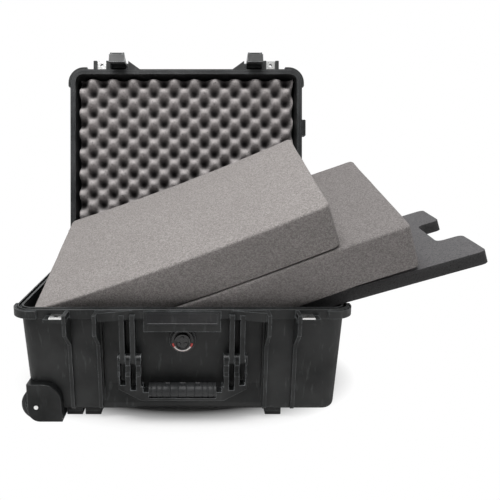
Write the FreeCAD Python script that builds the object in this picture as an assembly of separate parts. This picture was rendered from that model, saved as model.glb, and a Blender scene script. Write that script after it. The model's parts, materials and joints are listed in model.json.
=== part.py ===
"""A wheeled equipment case, open, with its foam layers fanned out over one end."""

import FreeCAD, Part
import math
import os

V = FreeCAD.Vector
X_AXIS = V(1, 0, 0)
Y_AXIS = V(0, 1, 0)
Z_AXIS = V(0, 0, 1)
SIDES = (-1, 1)

# Case: lengths in millimetres, X along the front, Y to the back, Z up from the floor
case_width = 546.0
case_depth = 420.0
ground_gap = 15.0
base_height = 184.0
lid_height = 60.0
wall = 4.0
draft_degrees = 2.5
open_degrees = 102.0
overrun = 40.0
running_gap = 0.05
body_gap = 0.6

# Rim and body of both shells
rim_height = 17.0
rim_overhang = 8.0
rim_radius = 32.0
rim_edge = 2.5
body_radius = 22.0
base_edge = 12.0
lid_edge = 13.0
inner_edge = 9.0
guard_thickness = 4.5
guard_reach = 40.0
guard_drop = 2.0
groove_offset = 3.5
groove_width = 5.0
groove_depth = 5.0
plateau_margin = 44.0
plateau_height = 4.0

# Latch guard ribs on the base
rib_places = (137.0, 184.0)
rib_thickness = 6.0
rib_reach = 25.0
rib_head = 36.0
rib_slope = 27.0
rib_proud = 13.0
rib_root = 0.5
rib_foot = 3.0
rib_toe = 5.0
ledge_width = 70.0
ledge_reach = 14.0

# Recess in the front wall behind the handle
recess_half = 131.0
recess_depth = 8.0
recess_low = 30.0
recess_toe = 5.0
recess_middle = 62.0

# Feet
foot_width = 27.0
foot_depth = 24.0
foot_height = 8.0
foot_edge = 2.0
foot_first = 87.5
foot_second = 119.0
foot_inset = 40.0

# Name panel and its blank plate
panel_width = 124.0
panel_height = 37.0
panel_proud = 3.0
plate_width = 116.0
plate_height = 21.0
plate_drop = 4.0
plate_thickness = 1.2

# Padlock lugs
padlock_place = 199.0
padlock_width = 38.0
padlock_reach = 19.0
padlock_drop = 8.0
padlock_lug = 7.0
padlock_plate_width = 20.0
padlock_plate_thickness = 2.5
padlock_hole_radius = 4.2

# Pressure valve
valve_drop = 57.0
valve_boss_radius = 22.0
valve_boss_proud = 3.5
valve_flange_radius = 18.0
valve_flange = 4.0
valve_stem_radius = 8.0
valve_gasket = 1.5
valve_gasket_radius = 16.5
valve_ring = 1.2
valve_ring_width = 3.2
valve_knob_radius = 14.2
valve_knob_height = 7.0
valve_knob_edge = 1.5
valve_knob_stem_radius = 4.0
valve_knob_stem = 3.0
valve_lobe_radius = 2.2
valve_lobe_ring = 8.5
valve_lobe_depth = 2.0
valve_lobe_count = 3
valve_nut_radius = 13.0
valve_nut_height = 5.0

# Front handle
handle_half = 105.0
handle_bracket = 38.0
handle_pivot_drop = 86.0
handle_pivot_inset = 2.0
handle_thickness = 20.0
handle_length = 69.5
handle_corner_rise = 21.0
handle_bar = 26.0
handle_lip = 6.0
handle_edge = 2.0
handle_pin_radius = 3.0
handle_slot_gap = 0.6
handle_slot_depths = (50.0, 41.0)
handle_step_depth = 4.0
handle_step_drops = (5.0, 9.0, 20.5, 28.5)
post_insets = (25.0, 8.0)
post_width = 8.0
post_radius = 8.0
grip_length = 110.0
grip_thickness = 27.0
grip_edge = 6.0
grip_core_height = 14.0
grip_core_thickness = 12.0
grip_slot = 9.0

# Hinge at the back
hinge_places = (-150.0, 150.0)
hinge_setback = 9.0
hinge_rise = 1.0
hinge_radius = 8.0
hinge_pin_radius = 3.0
hinge_lid_knuckle = 31.0
hinge_base_knuckle = 16.0
hinge_side_gap = 0.5

# Wheels, seated in housings at the left-hand end
wheel_radius = 28.0
wheel_width = 24.0
wheel_lift = 0.7
wheel_inset = 30.0
wheel_gap = 2.0
wheel_front_skin = 5.0
wheel_edge = 4.0
tread_thickness = 8.0
bearing_radius = 7.0
bearing_width = 12.0
axle_radius = 2.5
axle_head_radius = 3.6
axle_head = 1.5
housing_inset = 15.0
housing_length = 57.0
housing_height = 67.0
housing_lift = 1.5
housing_depth = 40.0
housing_radius = 31.0
housing_heel = 20.0
housing_edge = 2.0
screw_radius = 1.5
screw_head_radius = 3.2
screw_head = 1.8
screw_bite = 3.0

# Trolley handle under the floor
trolley_track = 38.0
tube_width = 18.0
tube_height = 11.0
tube_wall = 1.4
tube_gap = 0.3
outer_tube_left_inset = 83.0
outer_tube_right_inset = 69.0
inner_tube_left_inset = 101.0
inner_tube_right_inset = 41.0
bush_length = 14.0
bush_gap = 0.1
pocket_room = 4.0
pocket_half = 62.0
pocket_height = 30.0
trolley_grip_inset = 11.0
trolley_grip_length = 50.0
trolley_grip_half = 56.0
trolley_bar = 24.0
trolley_grip_low = 3.0
trolley_grip_high = 37.0
trolley_leg = 26.0
trolley_edge = 5.0
saddle_places = (-120.0, 120.0)
saddle_length = 22.0
saddle_margin = 14.0
saddle_low = 3.0
button_half = 12.0
button_height = 9.0
button_depth = 9.0
button_proud = 2.5
button_gap = 0.3
button_travel = 2.0

# Lid: seal, egg-crate foam, guards beside the trolley handle
lid_gap = 0.6
seal_width = 4.2
seal_proud = 0.3
seal_height = 4.0
foam_slab = 22.0
foam_peak = 26.0
foam_margin = 5.0
foam_radius = 14.0
peak_pitch = 48.0
peak_row = 24.0
peak_base_radius = 16.0
peak_tip_radius = 5.0
side_guard_places = (-72.0, 72.0)
side_guard_width = 38.0
side_guard_proud = 9.0
side_guard_edge = 3.0

# Latches on the lid's front
latch_places = (-160.0, 160.0)
latch_width = 36.0
latch_swing_degrees = 14.0
latch_pivot_reach = 11.0
latch_pivot_rise = 19.0
latch_thickness = 9.0
latch_top = 8.0
latch_drop = 26.0
latch_toe = 6.5
latch_toe_reach = 5.0
latch_pin_radius = 2.5
latch_edge = 1.5
lug_thickness = 5.0
lug_radius = 7.0
lug_side_gap = 0.5
gusset_width = 32.0
gusset_reach = 19.0
tab_width = 24.0
tab_thickness = 4.0
tab_height = 30.0
tab_pivot_drop = 18.0
tab_standoff = 4.5
tab_barrel_radius = 4.0
tab_pin_radius = 1.5
tab_ear = 4.0

# Loose foam layers, each by its lower front right corner, from the case's, and its three turns
layer_end_room = 50.0
layer_side_room = 60.0
layer_thickness = 76.0
layer_edge = 4.0
pad_side_room = 75.0
pad_thickness = 22.0
pad_notch_width = 124.0
pad_notch_depth = 42.0
top_layer_right, top_layer_front, top_layer_rise = -23.8, 1.18, 102.23
top_layer_turns = (0.7, 15.0, 20.8)
middle_layer_right, middle_layer_front, middle_layer_rise = 104.48, 5.39, 68.22
middle_layer_turns = (-0.3, 12.9, 20.5)
pad_right, pad_front, pad_rise = 207.8, -3.57, 76.94
pad_turns = (-6.2, 2.4, 19.0)

# Derived places
front = -case_depth / 2
back = case_depth / 2
right = case_width / 2
parting = ground_gap + base_height
body_width = case_width - 2 * rim_overhang
body_depth = case_depth - 2 * rim_overhang
draft = math.tan(math.radians(draft_degrees))
floor = ground_gap + wall
wall_front = recess_depth - body_depth / 2
hinge_y = back + hinge_setback
hinge_z = parting + hinge_rise
handle_y = front + handle_pivot_inset
handle_z = parting - handle_pivot_drop
latch_y = front - latch_pivot_reach
latch_z = parting + latch_pivot_rise
wheel_z = wheel_radius + wheel_lift
tube_z = ground_gap - tube_height / 2
rim_low = parting - rim_height
base_plate_low = parting - padlock_drop - padlock_plate_thickness
lid_plate_low = parting + lid_gap + padlock_lug - padlock_plate_thickness
post_places = tuple(handle_half - inset for inset in post_insets)
layer_length = case_width - layer_end_room
layer_width = case_depth - layer_side_room
pad_width = case_depth - pad_side_room
wheel_place = right - wheel_inset
housing_left = right - housing_inset
housing_right = housing_left - housing_length
outer_tube_left = -right + outer_tube_left_inset
outer_tube_right = right - outer_tube_right_inset
inner_tube_left = -right + inner_tube_left_inset
inner_tube_right = right - inner_tube_right_inset
trolley_grip_right = right - trolley_grip_inset
trolley_grip_left = trolley_grip_right - trolley_grip_length
pocket_left = trolley_grip_left - pocket_room
foot_places = (foot_first - right, foot_second - right, right - foot_second)


def box(x0, x1, y0, y1, z0, z1):
    """A block between two corners."""
    return Part.makeBox(x1 - x0, y1 - y0, z1 - z0, V(x0, y0, z0))


def rod(radius, start, end):
    """A round bar from one point to another."""
    return Part.makeCylinder(radius, (end - start).Length, start, end - start)


def ring(outer, inner, start, end):
    """A round sleeve from one point to another."""
    return rod(outer, start, end).cut(rod(inner, start, end))


def rounded_outline(width, depth, radius, z):
    """A closed rounded rectangle about the Z axis at one height."""
    half_x, half_y = width / 2, depth / 2
    bend = radius * (1 - math.sqrt(0.5))
    edges = []
    corners = ((1, 1), (-1, 1), (-1, -1), (1, -1))
    ends = []
    for index, (sx, sy) in enumerate(corners):
        along_y = V(sx * half_x, sy * (half_y - radius), z)
        along_x = V(sx * (half_x - radius), sy * half_y, z)
        middle = V(sx * (half_x - bend), sy * (half_y - bend), z)
        first, last = (along_y, along_x) if index % 2 == 0 else (along_x, along_y)
        ends.append((first, last))
        edges.append(Part.Arc(first, middle, last).toShape())
    lines = []
    for index in range(len(ends)):
        following = ends[(index + 1) % len(ends)]
        lines.append(Part.LineSegment(ends[index][1], following[0]).toShape())
    loop = [edge for pair in zip(edges, lines) for edge in pair]
    return Part.Wire(loop)


def rounded_prism(width, depth, radius, z0, z1):
    """An upright prism with rounded corners."""
    return Part.Face(rounded_outline(width, depth, radius, z0)).extrude(V(0, 0, z1 - z0))


def drafted(width, depth, radius, z_wide, z_narrow):
    """A tapering rounded prism, full size at z_wide and drawn in by the draft at z_narrow."""
    inset = 2 * draft * abs(z_wide - z_narrow)
    wide = rounded_outline(width, depth, radius, z_wide)
    narrow = rounded_outline(width - inset, depth - inset, radius, z_narrow)
    return Part.makeLoft([wide, narrow], True, True)


def edges_where(shape, test):
    """The edges of a shape whose box passes a test."""
    return [edge for edge in shape.Edges if test(edge.BoundBox)]


def round_flat_edges(shape, z, radius):
    """Round the loop of edges that lies at one height."""
    tolerance = body_gap / 2
    return shape.makeFillet(
        radius, edges_where(shape, lambda b: abs(b.ZMin - z) + abs(b.ZMax - z) < tolerance)
    )


def profile_x(points, x0, x1):
    """A slab between two X places with an outline of (Y, Z) points."""
    outline = Part.makePolygon([V(x0, y, z) for y, z in points + points[:1]])
    return Part.Face(outline).extrude(V(x1 - x0, 0, 0))


def profile_y(points, y0, y1):
    """A slab between two Y places with an outline of (X, Z) points."""
    outline = Part.makePolygon([V(x, y0, z) for x, z in points + points[:1]])
    return Part.Face(outline).extrude(V(0, y1 - y0, 0))


def profile_z(points, z0, z1):
    """A slab between two heights with an outline of (X, Y) points."""
    outline = Part.makePolygon([V(x, y, z0) for x, y in points + points[:1]])
    return Part.Face(outline).extrude(V(0, 0, z1 - z0))


def soften(shape, radius):
    """Round every edge of a simple block."""
    return shape.makeFillet(radius, shape.Edges)


def wall_y(z):
    """The outer face of the recess in the base's front wall at one height."""
    return wall_front + draft * (parting - z)


def save(name, *shapes):
    """Write one node, with each of its solids apart."""
    solids = [solid for shape in shapes for solid in shape.Solids]
    node = solids[0] if len(solids) == 1 else Part.makeCompound(solids)
    node.exportStep(os.path.join("parts", name + ".step"))
    return node


def corner_guards(z0, z1):
    """Thicker stretches of rim round the four corners."""
    spread = 2 * guard_thickness
    whole = rounded_prism(case_width + spread, case_depth + spread, rim_radius + guard_thickness, z0, z1)
    pieces = []
    for sx in SIDES:
        for sy in SIDES:
            x_far, y_far = sx * (right + overrun), sy * (back + overrun)
            x_near, y_near = sx * (right - guard_reach), sy * (back - guard_reach)
            zone = box(min(x_near, x_far), max(x_near, x_far), min(y_near, y_far), max(y_near, y_far), z0, z1)
            pieces.append(whole.common(zone))
    return pieces


def rim_band(z0, z1):
    """The flat band round a shell's mouth, with softened edges."""
    band = rounded_prism(case_width, case_depth, rim_radius, z0, z1)
    band = round_flat_edges(band, z0, rim_edge)
    return round_flat_edges(band, z1, rim_edge)


def rim_ring(offset, width, z0, z1):
    """A ring that follows the rim, offset in from its outer edge."""
    outer = rounded_prism(case_width - 2 * offset, case_depth - 2 * offset, rim_radius - offset, z0, z1)
    inset = offset + width
    inner = rounded_prism(case_width - 2 * inset, case_depth - 2 * inset, rim_radius - inset, z0, z1)
    return outer.cut(inner)


def mouth(z0, z1):
    """The space inside a shell, from its mouth at z0 to its closed end at z1."""
    space = drafted(body_width - 2 * wall, body_depth - 2 * wall, body_radius - wall, z0, z1)
    return round_flat_edges(space, z1, inner_edge)


def latch_rib(x):
    """One guard rib beside a latch."""
    foot = ground_gap + rib_foot
    head_low = parting - rib_head
    slope_low = head_low - rib_slope
    points = [
        (wall_front + wall, parting - rim_edge),
        (front - rib_reach, parting - rim_edge),
        (front - rib_reach, head_low),
        (wall_y(slope_low) - rib_proud, slope_low),
        (wall_y(foot) - rib_proud, foot + rib_toe),
        (wall_y(foot) - rib_proud + rib_toe, foot),
        (wall_y(foot) + wall / 2, foot),
    ]
    return profile_x(points, x - rib_thickness / 2, x + rib_thickness / 2)


def handle_post(x):
    """One post that carries the front handle, with its pin hole."""
    top = parting - rim_height / 2
    y_in = wall_y(handle_z - post_radius) + wall / 2
    y_out = handle_y - post_radius
    points = [(y_out, top), (y_out, handle_z), (y_in, handle_z), (y_in, top)]
    x0, x1 = x - post_width / 2, x + post_width / 2
    end = rod(post_radius, V(x0, handle_y, handle_z), V(x1, handle_y, handle_z))
    heel = box(x0, x1, handle_y, y_in, handle_z - post_radius, handle_z)
    return profile_x(points, x0, x1).fuse([end, heel])


def front_recess(grow):
    """The space behind the front handle, grown by a wall."""
    low, high = recess_low - recess_toe, rim_low + grow
    ahead = front - overrun
    steepness = recess_depth / (recess_middle - recess_low)
    toe = wall_y(low) - steepness * (recess_middle - low)
    points = [
        (toe + grow, low), (wall_y(recess_middle) + grow, recess_middle), (wall_y(high) + grow, high),
        (ahead, high), (ahead, low),
    ]
    return profile_x(points, -recess_half - grow, recess_half + grow)


def before_front(x0, x1, low, depth):
    """What lies in front of the base's front wall from a height to the rim, at a depth before the recess."""
    reach = depth + rib_root
    far = -case_width
    points = [(wall_y(low) - reach, low), (wall_y(rim_low) - reach, rim_low), (far, rim_low), (far, low)]
    return profile_x(points, x0, x1)


def handle_bore(x0, x1):
    """The front handle's pin hole between two X places."""
    return rod(handle_pin_radius + running_gap, V(x0, handle_y, handle_z), V(x1, handle_y, handle_z))


def wheel_well(grow):
    """The corner space for one wheel housing on the front side, grown by a wall."""
    x1 = -housing_right + body_gap + grow
    y1 = front + housing_depth + body_gap + grow
    z1 = housing_height + housing_lift + body_gap + grow
    well = box(-right - overrun, x1, front - overrun, y1, -overrun, z1)
    shoulder = edges_where(well, lambda b: b.ZMin > z1 - body_gap and b.XMin > x1 - body_gap)
    return well.makeFillet(housing_radius + body_gap + grow, shoulder)


def trolley_pocket(grow):
    """The space for the trolley grip in the right-hand end, grown by a wall."""
    half = pocket_half + grow
    return box(pocket_left - grow, right + overrun, -half, half, -overrun, ground_gap + pocket_height + grow)


def both_ends(shape):
    """A front piece and its mirror image at the back."""
    return [shape, shape.mirror(V(0, 0, 0), Y_AXIS)]


def knuckles(offsets, length, z_low, z_high):
    """Hinge knuckles on the back rim, each with the arm that carries it."""
    pieces = []
    for place in hinge_places:
        for offset in offsets:
            x0, x1 = place + offset - length / 2, place + offset + length / 2
            pieces.append(rod(hinge_radius, V(x0, hinge_y, hinge_z), V(x1, hinge_y, hinge_z)))
            pieces.append(box(x0, x1, back - rim_edge - wall, hinge_y, z_low, z_high))
    return pieces


def hinge_bores():
    """The pin holes of both hinges."""
    half = hinge_lid_knuckle / 2 + hinge_base_knuckle + overrun
    radius = hinge_pin_radius + running_gap
    return [
        rod(radius, V(place - half, hinge_y, hinge_z), V(place + half, hinge_y, hinge_z))
        for place in hinge_places
    ]


def base_knuckle_offset():
    """How far a base knuckle's middle lies from its hinge's middle."""
    return hinge_lid_knuckle / 2 + hinge_side_gap + hinge_base_knuckle / 2


def screw_places():
    """Where the under-floor saddles are screwed to the floor."""
    reach = trolley_track + tube_width / 2 + saddle_margin / 2
    return [(x, side * reach) for x in saddle_places for side in SIDES]


def padlock_lug_box(z0, z1):
    """The two front lugs that carry padlock plates."""
    half = padlock_width / 2
    return [
        box(x - half, x + half, front - padlock_reach, front + rim_edge, z0, z1)
        for x in (-padlock_place, padlock_place)
    ]


def padlock_bores():
    """Padlock holes, right through both shells' lugs."""
    y = front - padlock_reach / 2
    return [
        rod(padlock_hole_radius, V(x, y, parting - overrun), V(x, y, parting + overrun))
        for x in (-padlock_place, padlock_place)
    ]


def padlock_plates(z0):
    """Steel plates on the padlock lugs."""
    half = padlock_plate_width / 2
    plates = []
    for s, bore in zip(SIDES, padlock_bores()):
        x = s * padlock_place
        plate = box(x - half, x + half, front - padlock_reach, front, z0, z0 + padlock_plate_thickness)
        plates.append(plate.cut(bore))
    return plates


def base_moulding():
    """The whole moulded base: walls, rim, ribs, posts, wells and hinge knuckles."""
    outer = drafted(body_width, body_depth, body_radius, parting - rim_edge, ground_gap)
    outer = round_flat_edges(outer, ground_gap, base_edge).cut(front_recess(0))
    solid = outer.fuse([rim_band(parting - rim_height, parting)])
    extras = corner_guards(parting - rim_height + guard_drop, parting - guard_drop)
    extras += [latch_rib(s * x) for s in SIDES for x in rib_places]
    extras += [handle_post(s * x) for s in SIDES for x in post_places]
    for s in SIDES:
        inner = s * (rib_places[0] - rib_thickness / 2)
        root = front + wall
        points = [(inner, root), (inner, front - ledge_reach), (inner - s * ledge_width, root)]
        extras.append(profile_z(points, parting - rim_height, parting - guard_drop))
    half = panel_width / 2
    low, high = parting - panel_height, parting - rim_edge
    extras.append(box(-half, half, front - panel_proud, wall_y(low) + wall / 2, low, high))
    extras += padlock_lug_box(parting - rim_height, base_plate_low)
    y = wall_y(parting - valve_drop)
    z = parting - valve_drop
    extras.append(rod(valve_boss_radius, V(0, y - valve_boss_proud, z), V(0, y + wall / 2, z)))
    for x in foot_places:
        for s in SIDES:
            yc = s * (back - foot_inset)
            extras.append(
                box(x - foot_width / 2, x + foot_width / 2, yc - foot_depth / 2, yc + foot_depth / 2,
                    foot_height, ground_gap + base_edge)
            )
    extras += knuckles(
        (-base_knuckle_offset(), base_knuckle_offset()), hinge_base_knuckle,
        parting - rim_height, parting - body_gap,
    )
    solid = solid.fuse(extras)
    inside = mouth(parting, floor)
    keep = both_ends(wheel_well(wall)) + [trolley_pocket(wall)]
    inner_boss = rod(valve_boss_radius, V(0, y, z), V(0, y + wall + valve_boss_proud, z))
    inside = inside.cut(keep + [inner_boss, front_recess(wall)])
    cuts = [inside, trolley_pocket(0)] + both_ends(wheel_well(0)) + hinge_bores() + padlock_bores()
    cuts += padlock_plates(base_plate_low)
    cuts.append(rod(valve_stem_radius + running_gap, V(0, front, z), V(0, y + overrun, z)))
    cuts.append(rim_ring(groove_offset, groove_width, parting - groove_depth, parting + overrun))
    for s in SIDES:
        x0, x1 = s * (handle_half - handle_bracket), s * (handle_half + wall)
        cuts.append(handle_bore(x0, x1))
    bite = ground_gap + screw_bite + running_gap
    for x, yc in screw_places():
        cuts.append(rod(screw_radius + running_gap, V(x, yc, 0), V(x, yc, bite)))
    return solid.cut(cuts).removeSplitter()


def base_pieces():
    """The moulded base in three pieces: the rim, what stands out of the front wall, and the tub."""
    whole = base_moulding()
    far = case_width
    above = box(-far, far, -far, far, rim_low, parting + far)
    left_end = wall - housing_right + body_gap
    before = before_front(-recess_half, recess_half, recess_middle, 0)
    for x0, x1 in ((left_end, -recess_half), (recess_half, far)):
        before = before.fuse(before_front(x0, x1, floor, recess_depth))
    below = whole.cut(above)
    return {
        "base_shell": below.cut(before),
        "base_rim": whole.common(above),
        "base_front_ribs": below.common(before),
    }


def feet():
    """Rubber feet under the base's foot pads."""
    pieces = []
    for x in foot_places:
        for s in SIDES:
            yc = s * (back - foot_inset)
            half_x, half_y = foot_width / 2, foot_depth / 2
            foot = box(x - half_x, x + half_x, yc - half_y, yc + half_y, 0, foot_height)
            pieces.append(round_flat_edges(foot, 0, foot_edge))
    return pieces


def name_plate():
    """The blank plate on the front panel."""
    high = parting - plate_drop
    y1 = front - panel_proud
    plate = box(-plate_width / 2, plate_width / 2, y1 - plate_thickness, y1, high - plate_height, high)
    uprights = edges_where(plate, lambda b: b.YLength > plate_thickness / 2)
    return plate.makeFillet(rim_edge, uprights)


def valve_pieces():
    """The pressure valve: gasket, body, coloured ring, knob and inner nut, outside to inside."""
    z = parting - valve_drop
    seat = wall_y(z) - valve_boss_proud
    inner_seat = wall_y(z) + wall + valve_boss_proud

    def at(y):
        return V(0, y, z)

    flange_back = seat - valve_gasket
    flange_front = flange_back - valve_flange
    gasket = ring(valve_gasket_radius, valve_stem_radius + running_gap, at(flange_back), at(seat))
    body = rod(valve_flange_radius, at(flange_front), at(flange_back))
    body = body.fuse(rod(valve_stem_radius, at(flange_back), at(inner_seat + valve_nut_height)))
    socket_radius = valve_knob_stem_radius + running_gap
    body = body.cut(rod(socket_radius, at(flange_front - valve_ring), at(flange_front + valve_knob_stem)))
    inner = valve_flange_radius - valve_ring_width
    band = ring(valve_flange_radius, inner, at(flange_front - valve_ring), at(flange_front))
    knob_back = flange_front - tube_gap
    knob_front = knob_back - valve_knob_height
    knob = rod(valve_knob_radius, at(knob_front), at(knob_back))
    rim = edges_where(knob, lambda b: abs(b.YMin - knob_front) + abs(b.YMax - knob_front) < body_gap)
    knob = knob.makeFillet(valve_knob_edge, rim)
    lobes = []
    for index in range(valve_lobe_count):
        turn = math.radians(90) + index * math.tau / valve_lobe_count
        spot = V(valve_lobe_ring * math.cos(turn), 0, valve_lobe_ring * math.sin(turn))
        start = at(knob_front) + spot
        lobes.append(rod(valve_lobe_radius, start, start + V(0, valve_lobe_depth, 0)))
    knob = knob.cut(lobes)
    knob = knob.fuse(
        rod(valve_knob_stem_radius, at(knob_back), at(flange_front + valve_knob_stem - tube_gap))
    )
    six = [math.radians(60) * index for index in range(6)]
    corners = [(valve_nut_radius * math.cos(a), z + valve_nut_radius * math.sin(a)) for a in six]
    nut = profile_y(corners, inner_seat, inner_seat + valve_nut_height)
    nut = nut.cut(rod(valve_stem_radius + running_gap, at(inner_seat), at(inner_seat + valve_nut_height)))
    return {
        "valve_gasket": gasket,
        "valve_body": body,
        "valve_ring": band,
        "valve_knob": knob,
        "valve_nut": nut,
    }


def wheel_middle():
    """The middle of the front wheel."""
    y = front + wheel_front_skin + wheel_gap + wheel_width / 2
    return V(-wheel_place, y, wheel_z)


def wheel_housing():
    """The front wheel's housing: a rounded block with the wheel's space and axle hole."""
    y0, y1 = front, front + housing_depth
    top = housing_lift + housing_height
    block = box(-housing_left, -housing_right, y0, y1, housing_lift, top)
    shoulder = edges_where(
        block, lambda b: b.ZMin > top - body_gap and b.XMin > -housing_right - body_gap
    )
    block = block.makeFillet(housing_radius, shoulder)
    heel = edges_where(
        block, lambda b: b.ZMax < housing_lift + body_gap and b.XMax < body_gap - housing_left
    )
    block = block.makeFillet(housing_heel, heel)
    outline = edges_where(block, lambda b: abs(b.YMin - y0) + abs(b.YMax - y0) < body_gap)
    block = block.makeFillet(housing_edge, outline)
    middle = wheel_middle()
    half = V(0, wheel_width / 2 + wheel_gap, 0)
    reach = wheel_radius + wheel_gap
    space = rod(reach, middle - half, middle + half)
    y_low, y_high = (middle - half).y, (middle + half).y
    mouth_left = box(-right - overrun, middle.x, y_low, y_high, -overrun, middle.z + reach)
    mouth_down = box(-right - overrun, middle.x + reach, y_low, y_high, -overrun, middle.z)
    outside = V(middle.x, y0 - overrun, middle.z)
    hole = rod(axle_radius + running_gap, outside, V(middle.x, y1 + overrun, middle.z))
    return block.cut([space, mouth_left, mouth_down, hole])


def axle():
    """The front wheel's axle bolt."""
    middle = wheel_middle()
    start = V(middle.x, front, middle.z)
    end = V(middle.x, front + housing_depth, middle.z)
    head = rod(axle_head_radius, start - V(0, axle_head, 0), start)
    return rod(axle_radius, start, end).fuse(head)


def wheel_pieces():
    """The front wheel's tread, hub and bearing."""
    middle = wheel_middle()
    half = V(0, wheel_width / 2, 0)
    hub_radius = wheel_radius - tread_thickness
    tread = ring(wheel_radius, hub_radius, middle - half, middle + half)
    rims = edges_where(tread, lambda b: b.XLength > 2 * wheel_radius - body_gap and b.YLength < body_gap)
    tread = tread.makeFillet(wheel_edge, rims)
    bearing_half = V(0, bearing_width / 2, 0)
    hub = rod(hub_radius, middle - half, middle + half)
    hub = hub.cut(
        [
            rod(bearing_radius, middle - bearing_half, middle + bearing_half),
            rod(axle_head_radius, middle - half, middle + half),
        ]
    )
    bearing = ring(bearing_radius, axle_radius + running_gap, middle - bearing_half, middle + bearing_half)
    return {"tread": tread, "hub": hub, "bearing": bearing}


def tube(x0, x1, y, width, height, thickness):
    """A hollow box tube along X."""
    outer = box(x0, x1, y - width / 2, y + width / 2, tube_z - height / 2, tube_z + height / 2)
    w, h = width / 2 - thickness, height / 2 - thickness
    return outer.cut(box(x0 - overrun, x1 + overrun, y - w, y + w, tube_z - h, tube_z + h))


def saddle_screws():
    """Screws that hold the saddles to the floor."""
    screws = []
    for x, y in screw_places():
        shank = rod(screw_radius, V(x, y, saddle_low), V(x, y, ground_gap + screw_bite))
        head = rod(screw_head_radius, V(x, y, saddle_low - screw_head), V(x, y, saddle_low))
        screws.append(shank.fuse(head))
    return screws


def saddles():
    """Straps under the floor that hold the outer tubes."""
    half = trolley_track + tube_width / 2 + saddle_margin
    pieces = []
    for x in saddle_places:
        strap = box(x - saddle_length / 2, x + saddle_length / 2, -half, half, saddle_low, ground_gap)
        for s in SIDES:
            y = s * trolley_track
            w = tube_width / 2 + bush_gap
            low = tube_z - tube_height / 2 - bush_gap
            strap = strap.cut(box(x - overrun, x + overrun, y - w, y + w, low, ground_gap + overrun))
        for hx, hy in screw_places():
            strap = strap.cut(rod(screw_radius + running_gap, V(hx, hy, 0), V(hx, hy, ground_gap)))
        pieces += strap.Solids
    return pieces


def inner_tube_size():
    """Width and height of the sliding tubes."""
    trim = 2 * (tube_wall + tube_gap)
    return tube_width - trim, tube_height - trim


def trolley_pieces():
    """The sliding tubes, their stop bushes and sockets, the grip and the release button."""
    width, height = inner_tube_size()
    tubes, bushes = [], []
    x_bar = trolley_grip_right - trolley_bar
    half = trolley_grip_half
    grip = box(x_bar, trolley_grip_right, -half, half, trolley_grip_low, trolley_grip_high)
    outer_edges = edges_where(grip, lambda b: b.YLength > trolley_grip_half and b.XMin > x_bar)
    grip = grip.makeFillet(trolley_edge, outer_edges)
    sockets = []
    for s in SIDES:
        y = s * trolley_track
        tubes.append(tube(inner_tube_left, inner_tube_right, y, width, height, tube_wall))
        w, h = width / 2, height / 2
        half = trolley_leg / 2
        socket = box(trolley_grip_left, x_bar, y - half, y + half, trolley_grip_low, trolley_grip_high)
        sockets.append(socket.cut(box(pocket_left, inner_tube_right, y - w, y + w, tube_z - h, tube_z + h)))
        bore_w, bore_h = tube_width / 2 - tube_wall - bush_gap, tube_height / 2 - tube_wall - bush_gap
        bush_left = inner_tube_left - bush_length
        bushes.append(
            box(bush_left, inner_tube_left, y - bore_w, y + bore_w, tube_z - bore_h, tube_z + bore_h)
        )
    z = (trolley_grip_low + trolley_grip_high) / 2
    x_in = trolley_grip_right - button_depth
    g = button_gap
    hole_in = x_in - button_travel - g
    grip = grip.cut(
        box(hole_in, trolley_grip_right + overrun, -button_half - g, button_half + g,
            z - button_height / 2 - g, z + button_height / 2 + g)
    )
    button = box(x_in, trolley_grip_right + button_proud, -button_half, button_half,
                 z - button_height / 2, z + button_height / 2)
    face = edges_where(button, lambda b: b.XMin > trolley_grip_right + button_proud - body_gap)
    button = button.makeFillet(button_proud / 2, face)
    return {"tubes": tubes, "bushes": bushes, "sockets": sockets, "grip": grip, "button": button}


def grip_core(z):
    """The bar inside the handle's grip, about one height."""
    half = grip_length / 2
    y, h = grip_core_thickness / 2, grip_core_height / 2
    return box(-half, half, handle_y - y, handle_y + y, z - h, z + h)


def front_handle():
    """The fold-down handle, hanging from its pins, with slots for the posts."""
    y0, y1 = handle_y - handle_thickness / 2, handle_y + handle_thickness / 2
    low = handle_z - handle_length
    corner = low + handle_corner_rise
    inner = handle_half - handle_bracket
    bar_top = low + handle_bar
    outline = [
        (-handle_half, handle_z), (-handle_half, corner), (-inner, low), (inner, low),
        (handle_half, corner), (handle_half, handle_z), (inner, handle_z), (inner, bar_top),
        (-inner, bar_top), (-inner, handle_z),
    ]
    frame = profile_y(outline, y0, y1)
    faces = edges_where(frame, lambda b: b.YLength < body_gap and b.ZMin < handle_z - body_gap)
    frame = frame.makeFillet(handle_edge, faces)
    for s in SIDES:
        x0, x1 = sorted((s * inner, s * handle_half))
        frame = frame.fuse(rod(handle_thickness / 2, V(x0, handle_y, handle_z), V(x1, handle_y, handle_z)))
    places = (y0 - handle_edge, y0 + handle_step_depth, y0 + handle_step_depth, y0 - handle_edge)
    step = [(y, handle_z - drop) for y, drop in zip(places, handle_step_drops)]
    cuts = []
    for s in SIDES:
        for x, depth in zip(post_places, handle_slot_depths):
            half = post_width / 2 + handle_slot_gap
            x0, x1 = s * x - half, s * x + half
            cuts.append(box(x0, x1, front - overrun, y1 + overrun, handle_z - depth, handle_z + overrun))
        x0, x1 = sorted((s * (inner - overrun), s * (handle_half + overrun)))
        cuts.append(handle_bore(x0, x1))
        cuts.append(profile_x(step, x0, x1))
    middle = (low + handle_lip + bar_top) / 2
    half = grip_length / 2
    waist = box(-half, half, y0 - overrun, y1 + overrun, low + handle_lip, bar_top + overrun)
    cuts.append(waist.cut(grip_core(middle)))
    for s in SIDES:
        x0, x1 = sorted((s * grip_length / 2, s * (grip_length / 2 + grip_slot)))
        cuts.append(box(x0, x1, y0 - overrun, y1 + overrun, middle, bar_top + overrun))
    return frame.cut(cuts)


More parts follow.
